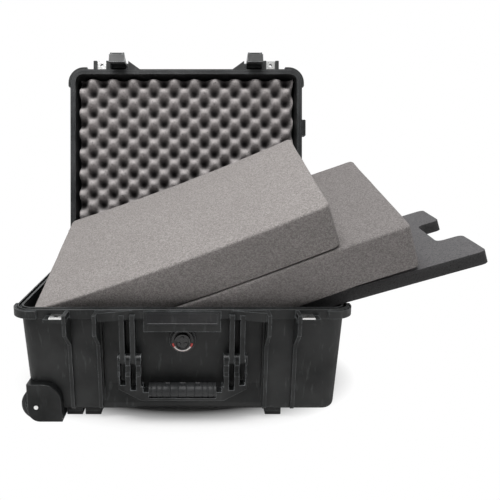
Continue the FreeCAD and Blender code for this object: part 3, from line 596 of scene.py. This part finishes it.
def block(mesh: Mesh, low: Sequence[float], high: Sequence[float]) -> list[Vert]:
    """Add a cuboid between two corners.

    Args:
        mesh: Where the cuboid goes.
        low: Its lowest corner.
        high: Its highest corner.

    Returns:
        The cuboid's vertices.
    """
    made = bmesh.ops.create_cube(mesh, size=1.0)["verts"]
    bmesh.ops.scale(mesh, vec=Vector(high) - Vector(low), verts=made)
    bmesh.ops.translate(mesh, vec=(Vector(high) + Vector(low)) / 2, verts=made)
    return made


def slice_along(mesh: Mesh, axis: Vector, places: Iterable[float]) -> None:
    """Cut loops across a mesh without opening it.

    Args:
        mesh: The mesh to cut.
        axis: The direction along which the cuts are placed.
        places: Where the cuts go along that axis.
    """
    for place in places:
        geometry = mesh.verts[:] + mesh.edges[:] + mesh.faces[:]
        bmesh.ops.bisect_plane(mesh, geom=geometry, dist=WELD, plane_co=axis * place, plane_no=axis)


def steps(length: float, pitch: float) -> list[float]:
    """Even places about a pitch apart along a length, without its ends."""
    count = max(2, round(length / pitch))
    return [length * index / count for index in range(1, count)]


def sharp_edges(mesh: Mesh, degrees: float = 50.0) -> list[Edge]:
    """The edges where a mesh turns by more than an angle."""
    limit = math.radians(degrees)
    return [e for e in mesh.edges if len(e.link_faces) == 2 and e.calc_face_angle(0.0) > limit]


def edges_along(mesh: Mesh, axis: Vector, least: float) -> list[Edge]:
    """The edges that reach further along an axis than a least length."""
    return [e for e in mesh.edges if abs((e.verts[0].co - e.verts[1].co).dot(axis)) > least]


def bevel(mesh: Mesh, edges: Sequence[Edge], width: float, segments: int) -> None:
    """Round edges over a width, with a number of strips."""
    bmesh.ops.bevel(
        mesh, geom=list(edges), offset=width, affect="EDGES", segments=segments, profile=0.5, material=-1,
        clamp_overlap=True,
    )


def spun(mesh: Mesh, profile: Sequence[Span], centre: Vector, segments: int) -> None:
    """Spin a closed outline into a ring about an axis along Y.

    Args:
        mesh: Where the ring goes.
        profile: Points as (radius, place along the axis), in order round the outline.
        centre: The ring's middle.
        segments: How many steps make the full turn.
    """
    side = INWARD.orthogonal().normalized()
    verts = [mesh.verts.new(centre + side * radius + INWARD * along) for radius, along in profile]
    edges = [mesh.edges.new(pair) for pair in zip(verts, verts[1:] + verts[:1])]
    bmesh.ops.spin(
        mesh, geom=verts + edges, cent=centre, axis=INWARD, dvec=(0, 0, 0), angle=math.tau, steps=segments,
        use_merge=True,
    )


@dataclass
class FoamLayer:
    """One loose foam layer, laid askew over the case's right-hand end.

    Its turns are about Z, X and Y in degrees; its sag holds the drop at the low end, the drop half-way
    along the reach, and the reach as a share of the length.
    """

    node: str
    body: str
    slot: str
    finish: Material
    corner: Point
    turns: Point
    size: Point
    sag: Point
    press_axis: Point
    press_anchor: Point
    press_keep: float
    stretch: float = 0.0
    notch: Optional[Span] = None
    corner_radius: float = 0.011
    corner_strips: int = 4
    edge_radius: float = 0.0045
    edge_strips: int = 3
    grid: float = 0.02
    softness: float = 0.0008
    ripple_share: float = 0.6
    ripple_scale: float = 22.0

    def pose(self) -> Matrix:
        """Where the layer's own axes stand in the case.

        Returns:
            The layer's matrix.
        """
        yaw, roll, tilt = (math.radians(turn) for turn in self.turns)
        spin = Matrix.Rotation(yaw, 4, "Z") @ Matrix.Rotation(roll, 4, "X") @ Matrix.Rotation(-tilt, 4, "Y")
        return Matrix.Translation(self.corner) @ spin

    def outline(self) -> list[Span]:
        """The layer's plan, with its end notch if it has one.

        Returns:
            Corners in order.
        """
        length, width, _ = self.size
        bay = []
        if self.notch is not None:
            span, depth = self.notch
            low, high = (width - span) / 2, (width + span) / 2
            bay = [(length, low), (length - depth, low), (length - depth, high), (length, high)]
        return [(0, 0), (length, 0), *bay, (length, width), (0, width)]

    def sag_at(self, share: float) -> float:
        """How far the layer hangs below its straight line.

        Args:
            share: Place along the layer, zero at its low end.

        Returns:
            The distance, from a curve through the low end, half the reach and the reach.
        """
        end, half_way, reach = self.sag
        place = min(max(share / reach, 0.0), 1.0)
        return end * (1.0 - place) * (1.0 - 2.0 * place) + half_way * 4.0 * place * (1.0 - place)

    def ease(self, mesh: Mesh) -> None:
        """Note which way each vertex faces, for painted shade on the cut sides, then soften, stretch and
        sag the layer.

        Args:
            mesh: The layer on its own axes.
        """
        unshaded_share = mesh.verts.layers.float.new("unshaded_share")
        moves = []
        for vert in mesh.verts:
            # One on the top and bottom, zero on the sides, which get the painted shade.
            vert[unshaded_share] = abs(vert.normal.z)
            ripple = self.ripple_share + self.ripple_share * noise.noise(vert.co * self.ripple_scale)
            moves.append((vert, -vert.normal * self.softness * ripple))
        for vert, move in moves:
            vert.co += move
            share = vert.co.x / self.size[0]
            vert.co.x -= self.stretch * (1.0 - share)
            vert.co.z -= self.sag_at(share)

    def build(self) -> Piece:
        """Make the layer: an extruded plan, cut into a soft grid and eased at its edges.

        Returns:
            The layer, in place.
        """
        height = self.size[2]
        mesh = bmesh.new()
        face = mesh.faces.new([mesh.verts.new((x, y, 0.0)) for x, y in self.outline()])
        raised = bmesh.ops.extrude_face_region(mesh, geom=[face])["geom"]
        top = [item for item in raised if isinstance(item, Vert)]
        bmesh.ops.translate(mesh, vec=UP * height, verts=top)
        bmesh.ops.recalc_face_normals(mesh, faces=mesh.faces[:])
        bevel(mesh, edges_along(mesh, UP, height / 2), self.corner_radius, self.corner_strips)
        for axis, length in zip((ACROSS, INWARD, UP), self.size):
            slice_along(mesh, axis, steps(length, self.grid))
        bevel(mesh, sharp_edges(mesh), self.edge_radius, self.edge_strips)
        mesh.normal_update()
        self.ease(mesh)
        bmesh.ops.transform(mesh, matrix=self.pose(), verts=mesh.verts[:])
        return finished(self.node + "_cut", mesh, self.finish)

    def dress(self) -> None:
        """Build the layer and tie it to its body."""
        piece = self.build()
        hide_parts(self.node)
        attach(piece, self.body)
        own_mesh(piece)


@dataclass
class ClosedLid:
    """The lid's own frame: how a place on the closed lid moves as it opens."""

    hinge: Point = (0.0, 0.219, 0.200)
    open_degrees: float = 102.0
    latch_axis: Point = (0.0, -0.221, 0.218)
    latch_swing: float = 14.0

    def turned(self, centre: Point, degrees: float) -> Matrix:
        """A turn back by some degrees about the axis along X through a centre."""
        there = Matrix.Translation(Vector(centre))
        return there @ Matrix.Rotation(-math.radians(degrees), 4, "X") @ Matrix.Translation(-Vector(centre))

    def opened(self) -> Matrix:
        """The turn from the closed lid to the open one."""
        return self.turned(self.hinge, self.open_degrees)

    def latch(self) -> Matrix:
        """The turn from a hanging latch to where it stands on the open lid."""
        return self.opened() @ self.turned(self.latch_axis, self.latch_swing)


@dataclass
class EggCrateLining:
    """The convoluted foam in the lid: peaks and pits in a chequered field."""

    lid: ClosedLid
    finish: Material
    depth: float = 0.3805
    pitch: float = 0.0485
    slip: Span = (-0.005, -0.013)
    fullness: float = 0.85
    root: float = 0.2392
    back: float = 0.2545
    swing: float = 0.0161
    columns: int = 144
    rows: int = 108

    def height(self, x: float, y: float) -> float:
        """How far the foam stands out at one place.

        Args:
            x: Place across the lid.
            y: Place from front to back.

        Returns:
            A share from minus one in a pit to one on a peak.
        """
        turn = math.tau / self.pitch
        wave = math.cos(turn * (x - self.slip[0])) * math.cos(turn * (y - self.slip[1]))
        return math.copysign(abs(wave) ** self.fullness, wave)

    def build(self) -> Piece:
        """Make the lining from a grid, its rim drawn back to the lid's roof.

        Returns:
            The lining, in place on the open lid.
        """
        low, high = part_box("lid_foam")
        mesh = bmesh.new()
        unshaded_share = mesh.verts.layers.float.new("unshaded_share")
        bmesh.ops.create_grid(mesh, x_segments=self.columns, y_segments=self.rows, size=0.5)
        bmesh.ops.scale(mesh, vec=(high.x - low.x, self.depth, 1.0), verts=mesh.verts[:])
        for vert in mesh.verts:
            share = self.height(vert.co.x, vert.co.y)
            # One on a peak and zero in a pit, which gets the painted shade.
            vert[unshaded_share] = 0.5 + 0.5 * share
            vert.co.z = self.root - self.swing - self.swing * share
        rim = [edge for edge in mesh.edges if edge.is_boundary]
        walls = bmesh.ops.extrude_edge_only(mesh, edges=rim)["geom"]
        for vert in (item for item in walls if isinstance(item, Vert)):
            vert.co.z = self.back
        bmesh.ops.contextual_create(mesh, geom=[edge for edge in mesh.edges if edge.is_boundary])
        bmesh.ops.transform(mesh, matrix=self.lid.opened(), verts=mesh.verts[:])
        return finished("lid_foam_convoluted", mesh, self.finish)

    def dress(self) -> None:
        """Build the lining and tie it to the lid."""
        piece = self.build()
        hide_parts("lid_foam")
        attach(piece, "lid")


@dataclass
class HandleSleeve:
    """The ribbed soft sleeve on the front handle's bar."""

    finish: Material
    crease: float = 40.0
    edge: float = 0.0095
    edge_strips: int = 5
    groove: float = 0.0008
    groove_half: float = 0.0010
    groove_shares: tuple[float, ...] = (-0.92, -0.76, -0.60, -0.36, -0.12, 0.12, 0.36, 0.60, 0.76, 0.92)
    dimple_places: tuple[float, ...] = (-0.024, 0.0, 0.024)
    dimple_half: float = 0.005
    dimple_border: float = 0.0015
    dimple_depth: float = 0.0014
    end_border: float = 0.002

    def dimpled(self, face: bmesh.types.BMFace) -> bool:
        """Whether a face lies on top, at one of the dimples."""
        gaps = [abs(face.calc_center_median().x - place) for place in self.dimple_places]
        return face.normal.z > FACING and min(gaps) < self.dimple_half

    def build(self) -> Piece:
        """Make the sleeve: a rounded bar with rings pinched in along it.

        Returns:
            The sleeve, in place.
        """
        low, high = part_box("handle_grip")
        middle = (low + high) / 2
        half = (high.x - low.x) / 2
        mesh = bmesh.new()
        block(mesh, low, high)
        bevel(mesh, edges_along(mesh, ACROSS, half), self.edge, self.edge_strips)
        rings = [share * half for share in self.groove_shares]
        cuts = {ring + side * self.groove_half for ring in rings for side in (-1, 0, 1)}
        cuts |= {place + side * self.dimple_half for place in self.dimple_places for side in (-1, 1)}
        slice_along(mesh, ACROSS, sorted(cuts))
        for vert in mesh.verts:
            if any(abs(vert.co.x - ring) < NEAR for ring in rings):
                to_middle = Vector((0, middle.y - vert.co.y, middle.z - vert.co.z))
                vert.co += to_middle.normalized() * self.groove
        mesh.normal_update()
        tops = [face for face in mesh.faces if self.dimpled(face)]
        bmesh.ops.inset_region(mesh, faces=tops, thickness=self.dimple_border, depth=-self.dimple_depth)
        ends = [
            face for face in mesh.faces
            if abs(face.normal.x) > FACING and abs(abs(face.calc_center_median().x) - half) < NEAR
        ]
        bmesh.ops.inset_individual(mesh, faces=ends, thickness=self.end_border, depth=0.0)
        return finished("handle_grip_sleeve", mesh, self.finish, self.crease)

    def dress(self) -> None:
        """Build the sleeve and tie it to the handle."""
        piece = self.build()
        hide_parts("handle_grip")
        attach(piece, "handle")


@dataclass
class PressureDial:
    """The valve's turning knob and the coloured arc round its lower half.

    The knob's rings are shares of its radius and depths behind its front. Each band holds an arc's inner
    and outer radius as shares of the ring's, and how far it stands out.
    """

    finishes: Finishes
    core: float = 0.0002
    rings: tuple[Span, ...] = (
        (0.72, 0.0022), (0.78, 0.0004), (0.92, 0.0), (1.0, 0.0012), (1.0, 0.007),
    )
    knob_steps: int = 60
    flutes: int = 30
    flute_depth: float = 0.0006
    flute_share: float = 0.95
    lobes: int = 3
    lobe_radius: float = 0.0034
    lobe_taper: float = 0.8
    lobe_ring: float = 0.0068
    lobe_height: float = 0.0016
    lobe_inset: float = 0.0014
    lobe_steps: int = 20
    red_degrees: float = 150.0
    red_band: Point = (0.80, 1.0, 0.0010)
    white_degrees: float = 106.0
    white_band: Point = (0.815, 0.985, 0.0013)
    arc_steps: int = 40
    arc_middle: float = 270.0

    def add_lobes(self, mesh: Mesh, middle: Vector) -> None:
        """Add the knob's lobes.

        Args:
            mesh: Where they go.
            middle: The middle of their ring.
        """
        upright = Matrix.Rotation(math.radians(90), 4, "X")
        for index in range(self.lobes):
            turn = math.radians(90) + index * math.tau / self.lobes
            spot = middle + Vector((math.cos(turn), 0.0, math.sin(turn))) * self.lobe_ring
            bmesh.ops.create_cone(
                mesh, cap_ends=True, segments=self.lobe_steps, radius1=self.lobe_radius,
                radius2=self.lobe_radius * self.lobe_taper, depth=self.lobe_height,
                matrix=Matrix.Translation(spot) @ upright,
            )

    def knob(self) -> Piece:
        """Make the knob: a stepped disc with a fluted edge and three lobes.

        Returns:
            The knob, in place.
        """
        low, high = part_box("valve_knob")
        centre = Vector(((low.x + high.x) / 2, 0.0, (low.z + high.z) / 2))
        radius = (high.x - low.x) / 2
        face = [(radius * share, low.y + depth) for share, depth in self.rings]
        mesh = bmesh.new()
        outline = [(self.core, face[0][1]), *face, (self.core, face[-1][1])]
        spun(mesh, outline, centre, self.knob_steps)
        for vert in mesh.verts:
            out = Vector((vert.co.x - centre.x, 0.0, vert.co.z - centre.z))
            if out.length > radius * self.flute_share:
                flute = 0.5 + 0.5 * math.cos(self.flutes * math.atan2(out.z, out.x))
                vert.co -= out.normalized() * self.flute_depth * flute
        self.add_lobes(mesh, centre + INWARD * (low.y + self.lobe_inset))
        return finished("valve_knob_dial", mesh, self.finishes.dial, CREASE, weld=True)

    def arc(self, name: str, material: Material, degrees: float, band: Point) -> Piece:
        """Make one arc of the ring.

        Args:
            name: The piece's name.
            material: Its finish.
            degrees: How far it reaches round the lower half.
            band: Its inner and outer share of the radius, and its rise.

        Returns:
            The arc, in place.
        """
        low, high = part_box("valve_ring")
        centre = Vector(((low.x + high.x) / 2, high.y, (low.z + high.z) / 2))
        radius = (high.x - low.x) / 2
        inner, outer, rise = band
        start = math.radians(self.arc_middle - degrees / 2)
        side = Vector((math.cos(start), 0, math.sin(start)))
        mesh = bmesh.new()
        corners = ((inner, 0), (outer, 0), (outer, rise), (inner, rise))
        mesh.faces.new([mesh.verts.new(centre + side * radius * r - INWARD * y) for r, y in corners])
        section = mesh.verts[:] + mesh.edges[:] + mesh.faces[:]
        bmesh.ops.spin(
            mesh, geom=section, cent=centre, axis=-INWARD, dvec=(0, 0, 0), angle=math.radians(degrees),
            steps=self.arc_steps, use_merge=False,
        )
        return finished(name, mesh, material, CREASE, weld=True)

    def dress(self) -> None:
        """Build the dial and tie it to its bodies."""
        knob = self.knob()
        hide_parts("valve_knob")
        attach(knob, "knob")
        red = self.arc("valve_ring_red", self.finishes.red, self.red_degrees, self.red_band)
        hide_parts("valve_ring")
        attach(red, "base")
        white = self.arc("valve_ring_white", self.finishes.white, self.white_degrees, self.white_band)
        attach(white, "base")


@dataclass
class CornerWheel:
    """One wheel: a rounded tyre with a groove and a dished hub with webs.

    Outlines run along one half, as shares of the radius and of half the width; the other half mirrors it.
    """

    end: End
    finishes: Finishes
    ring_steps: int = 72
    tyre_outline: tuple[Span, ...] = (
        (0.72, -1.0), (0.86, -1.0), (0.95, -0.84), (1.0, -0.5), (1.0, -0.12), (0.975, -0.06),
    )
    tyre_crease: float = 50.0
    hub_outline: tuple[Span, ...] = (
        (0.39, -1.0), (0.50, -1.0), (0.53, -0.62), (0.80, -0.62), (0.84, -1.0), (1.0, -1.0),
    )
    web_count: int = 6
    web_reach: Span = (0.48, 0.86)
    web_width: float = 0.86
    web_half: float = 0.0011

    @property
    def body(self) -> str:
        """The wheel's body."""
        return "wheel_" + self.end.name.lower()

    def ring(self, node: str, outline: Sequence[Span]) -> tuple[Mesh, Vector, float, float]:
        """Spin one ring to fill its node's box.

        Args:
            node: The CAD node.
            outline: Half the ring's outline, in shares.

        Returns:
            The mesh, the box's centre, its radius and half its width.
        """
        low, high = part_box(node)
        centre = (low + high) / 2
        radius, half = (high.x - low.x) / 2, (high.y - low.y) / 2
        shares = [*outline, *((r, -w) for r, w in reversed(outline))]
        mesh = bmesh.new()
        spun(mesh, [(radius * r, half * w) for r, w in shares], centre, self.ring_steps)
        return mesh, centre, radius, half

    def tyre(self) -> None:
        """Make the tyre and tie it to the wheel."""
        node = self.body + "_tread"
        mesh = self.ring(node, self.tyre_outline)[0]
        piece = finished(node + "_tyre", mesh, self.finishes.rubber, self.tyre_crease, weld=True)
        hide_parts(node)
        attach(piece, self.body)

    def hub(self) -> None:
        """Make the hub and tie it to the wheel."""
        node = self.body + "_hub"
        mesh, centre, radius, half = self.ring(node, self.hub_outline)
        start, stop = (radius * share for share in self.web_reach)
        side = half * self.web_width
        for index in range(self.web_count):
            web = block(mesh, (start, -side, -self.web_half), (stop, side, self.web_half))
            matrix = Matrix.Translation(centre) @ Matrix.Rotation(index * math.tau / self.web_count, 4, "Y")
            bmesh.ops.transform(mesh, matrix=matrix, verts=web)
        piece = finished(node + "_webbed", mesh, self.finishes.trim, CREASE, weld=True)
        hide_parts(node)
        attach(piece, self.body)

    def dress(self) -> None:
        """Build the tyre and the hub."""
        self.tyre()
        self.hub()


@dataclass
class BlankPlate:
    """The name plate, bare, with a raised border."""

    finish: Material
    corner: float = 0.0025
    corner_strips: int = 4
    border: float = 0.0022
    slope: float = 0.0005
    sink: float = 0.0006

    def dress(self) -> None:
        """Build the plate and tie it to the base."""
        mesh = bmesh.new()
        block(mesh, *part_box("name_plate"))
        bevel(mesh, edges_along(mesh, INWARD, NEAR), self.corner, self.corner_strips)
        mesh.normal_update()
        faces = [face for face in mesh.faces if face.normal.y < -FACING]
        bmesh.ops.inset_region(mesh, faces=faces, thickness=self.border, depth=0.0)
        bmesh.ops.inset_region(mesh, faces=faces, thickness=self.slope, depth=-self.sink)
        piece = finished("name_plate_blank", mesh, self.finish, smooth=False)
        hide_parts("name_plate")
        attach(piece, "base")


@dataclass
class LatchGrip:
    """Raised finger bars on one latch's pull tab."""

    hand: Hand
    lid: ClosedLid
    finish: Material
    place: float = 0.160
    tab_front: float = 0.011
    half: float = 0.0095
    bar: float = 0.0013
    proud: float = 0.0009
    root: float = 0.0005
    edge: float = 0.0004
    edge_strips: int = 2
    heights: tuple[float, ...] = (0.193, 0.1975, 0.202, 0.2065)

    def dress(self) -> None:
        """Build the bars and tie them to the tab."""
        x = self.hand.value * self.place
        face = self.lid.latch_axis[1] - self.tab_front
        mesh = bmesh.new()
        for height in self.heights:
            low = (x - self.half, face - self.proud, height - self.bar)
            block(mesh, low, (x + self.half, face + self.root, height + self.bar))
        bevel(mesh, sharp_edges(mesh), self.edge, self.edge_strips)
        bmesh.ops.transform(mesh, matrix=self.lid.latch(), verts=mesh.verts[:])
        word = self.hand.name.lower()
        piece = finished("latch_" + word + "_finger_bars", mesh, self.finish, CREASE)
        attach(piece, "latch_" + word + "_pull")


@dataclass
class HardPieces:
    """The CAD pieces that stay as they are, each given its finish."""

    finishes: Finishes
    trim_nodes: tuple[str, ...] = (
        "front_handle", "wheel_front_housing", "wheel_rear_housing", "trolley_grip", "trolley_sockets",
        "trolley_saddles", "latch_left_arm", "latch_right_arm", "latch_left_tab", "latch_right_tab",
    )

    def dress(self) -> None:
        """Give every node its material."""
        slots = {entry["node"]: entry["material_slot"] for entry in frame["record"]["subparts"]}
        for name, node in frame["nodes"].items():
            plain = self.finishes.slots[slots[name]]
            node.data.materials.clear()
            node.data.materials.append(self.finishes.trim if name in self.trim_nodes else plain)
        LOG.info("%d hard pieces finished", len(slots))


@dataclass(frozen=True)
class Softbox:
    """One soft square lamp: its place and aim, its side in metres and its power in watts."""

    name: str
    place: Point
    aim: Point
    side: float
    power: float

    def hang(self) -> None:
        """Put the lamp in the scene, unseen by the camera."""
        light = bpy.data.lights.new(self.name, "AREA")
        light.size = self.side
        light.energy = self.power
        holder = bpy.data.objects.new(self.name, light)
        holder.location = self.place
        holder.rotation_euler = (Vector(self.aim) - Vector(self.place)).to_track_quat("-Z", "Y").to_euler()
        holder.visible_camera = False
        bpy.context.scene.collection.objects.link(holder)


@dataclass
class Studio:
    """Pale floor, soft light, white surround and the picture's camera."""

    eye: Point = (0.0200, -1.0456, 0.4771)
    pitch_degrees: float = 12.24
    lens: float = 39.55
    sensor: float = 36.0
    shift: float = 0.1106
    clip: float = 0.01
    floor_half: float = 9.0
    floor_colour: Colour = (0.92, 0.915, 0.91)
    floor_roughness: float = 0.7
    shadow_squeeze: Point = (0.72, 1.0, 1.0)
    shadow_fade: Span = (0.17, 0.245)
    fill: float = 0.18
    lamps: tuple[Softbox, ...] = (
        Softbox("overhead_softbox", (-0.3, -0.62, 2.2), (0.0, 0.0, 0.2), 1.4, 49.0),
        Softbox("back_softbox", (0.0, 2.4, 1.1), (0.0, 0.0, 0.4), 2.4, 26.0),
        Softbox("front_left_softbox", (-1.9, -1.2, 1.2), (0.0, 0.0, 0.2), 1.3, 2.0),
        Softbox("right_softbox", (2.0, -0.5, 1.0), (0.1, 0.0, 0.2), 1.2, 7.0),
    )

    def floor(self) -> None:
        """Make the floor, which shows the shadow near the object and white further out."""
        mesh = bmesh.new()
        bmesh.ops.create_grid(mesh, x_segments=2, y_segments=2, size=self.floor_half)
        paint = (*self.floor_colour, 1.0)
        material, kit, principled = shader("pale_floor", self.floor_roughness, Base_Color=paint)
        glow = kit.feed(kit.add("Emission"), Color=WHITE)
        away = kit.measure("LENGTH", kit.mapped(kit.place(), self.shadow_squeeze))
        seen = kit.add("LightPath").outputs["Is Camera Ray"]
        share = kit.maths("MULTIPLY", seen, kit.remap(away, self.shadow_fade))
        mix = kit.fill(kit.add("MixShader"), share, principled.outputs[0], glow.outputs[0])
        kit.feed(material.node_tree.nodes["Material Output"], Surface=mix.outputs[0])
        piece = finished("studio_floor", mesh, material)

    def surround(self) -> None:
        """Make the surround, white to the camera and a weak fill to everything else."""
        world = bpy.data.worlds.new("white_surround")
        bpy.context.scene.world = world
        world.use_nodes = True
        kit = NodeKit(world.node_tree)
        ground = world.node_tree.nodes["Background"]
        rays = kit.add("LightPath")
        seen = kit.maths("MAXIMUM", rays.outputs["Is Camera Ray"], rays.outputs["Is Transmission Ray"])
        kit.feed(ground, Color=WHITE, Strength=kit.remap(seen, UNIT, (self.fill, 1.0)))

    def camera(self) -> None:
        """Set up the camera at the picture's own place."""
        data = bpy.data.cameras.new("picture_camera")
        data.lens = self.lens
        data.sensor_width = self.sensor
        data.shift_x = self.shift
        data.clip_start = self.clip
        holder = bpy.data.objects.new("picture_camera", data)
        holder.location = self.eye
        holder.rotation_euler = (math.radians(90.0 - self.pitch_degrees), 0.0, 0.0)
        bpy.context.scene.collection.objects.link(holder)
        bpy.context.scene.camera = holder

    def build(self) -> None:
        """Build the studio."""
        self.floor()
        self.surround()
        for lamp in self.lamps:
            lamp.hang()
        self.camera()
        bpy.context.scene.view_settings.view_transform = "Standard"


def layers(finishes: Finishes) -> list[FoamLayer]:
    """The three loose layers, top one first.

    Args:
        finishes: The materials.

    Returns:
        The layers.
    """
    thick = (0.496, 0.360, 0.076)
    return [
        FoamLayer(
            "foam_top", "layer_top", "foam_grey", finishes.grey_foam,
            corner=(-0.2150, -0.1689, 0.1311), turns=(0.7, 15.0, 20.8), size=thick,
            sag=(0.0085, 0.0112, 1.0), stretch=0.010,
            press_axis=(0.0055, -0.1950, 0.9808), press_anchor=(0.0009, -0.0291, 0.1551), press_keep=0.02,
        ),
        FoamLayer(
            "foam_middle", "layer_middle", "foam_grey", finishes.shaded_grey_foam,
            corner=(-0.0869, -0.1634, 0.0979), turns=(-0.3, 12.9, 20.5), size=thick,
            sag=(0.012, 0.0092, 0.8),
            press_axis=(0.8539, -0.0712, 0.5156), press_anchor=(-0.0757, 0.0063, -0.0500), press_keep=0.15,
        ),
        FoamLayer(
            "foam_pad", "layer_pad", "foam_black", finishes.black_foam,
            corner=(0.0153, -0.1562, 0.1146), turns=(-6.2, 2.4, 19.0), size=(0.496, 0.345, 0.022),
            sag=(0.010, 0.0070, 0.5), notch=(0.124, 0.042),
            press_axis=(0.8896, -0.1303, 0.4378), press_anchor=(0.0806, -0.0118, 0.0354), press_keep=0.15,
        ),
    ]


def main() -> None:
    """Build every dressed piece in order, then the studio."""
    logging.basicConfig(level=logging.INFO, format="%(message)s")
    finishes = Finishes()
    lid = ClosedLid()
    HardPieces(finishes).dress()
    for layer in layers(finishes):
        layer.dress()
    EggCrateLining(lid, finishes.lid_foam).dress()
    HandleSleeve(finishes.rubber).dress()
    PressureDial(finishes).dress()
    for end in End:
        CornerWheel(end, finishes).dress()
    BlankPlate(finishes.plate).dress()
    for hand in Hand:
        LatchGrip(hand, lid, finishes.trim).dress()
    Studio().build()


if __name__ == "__main__":
    main()
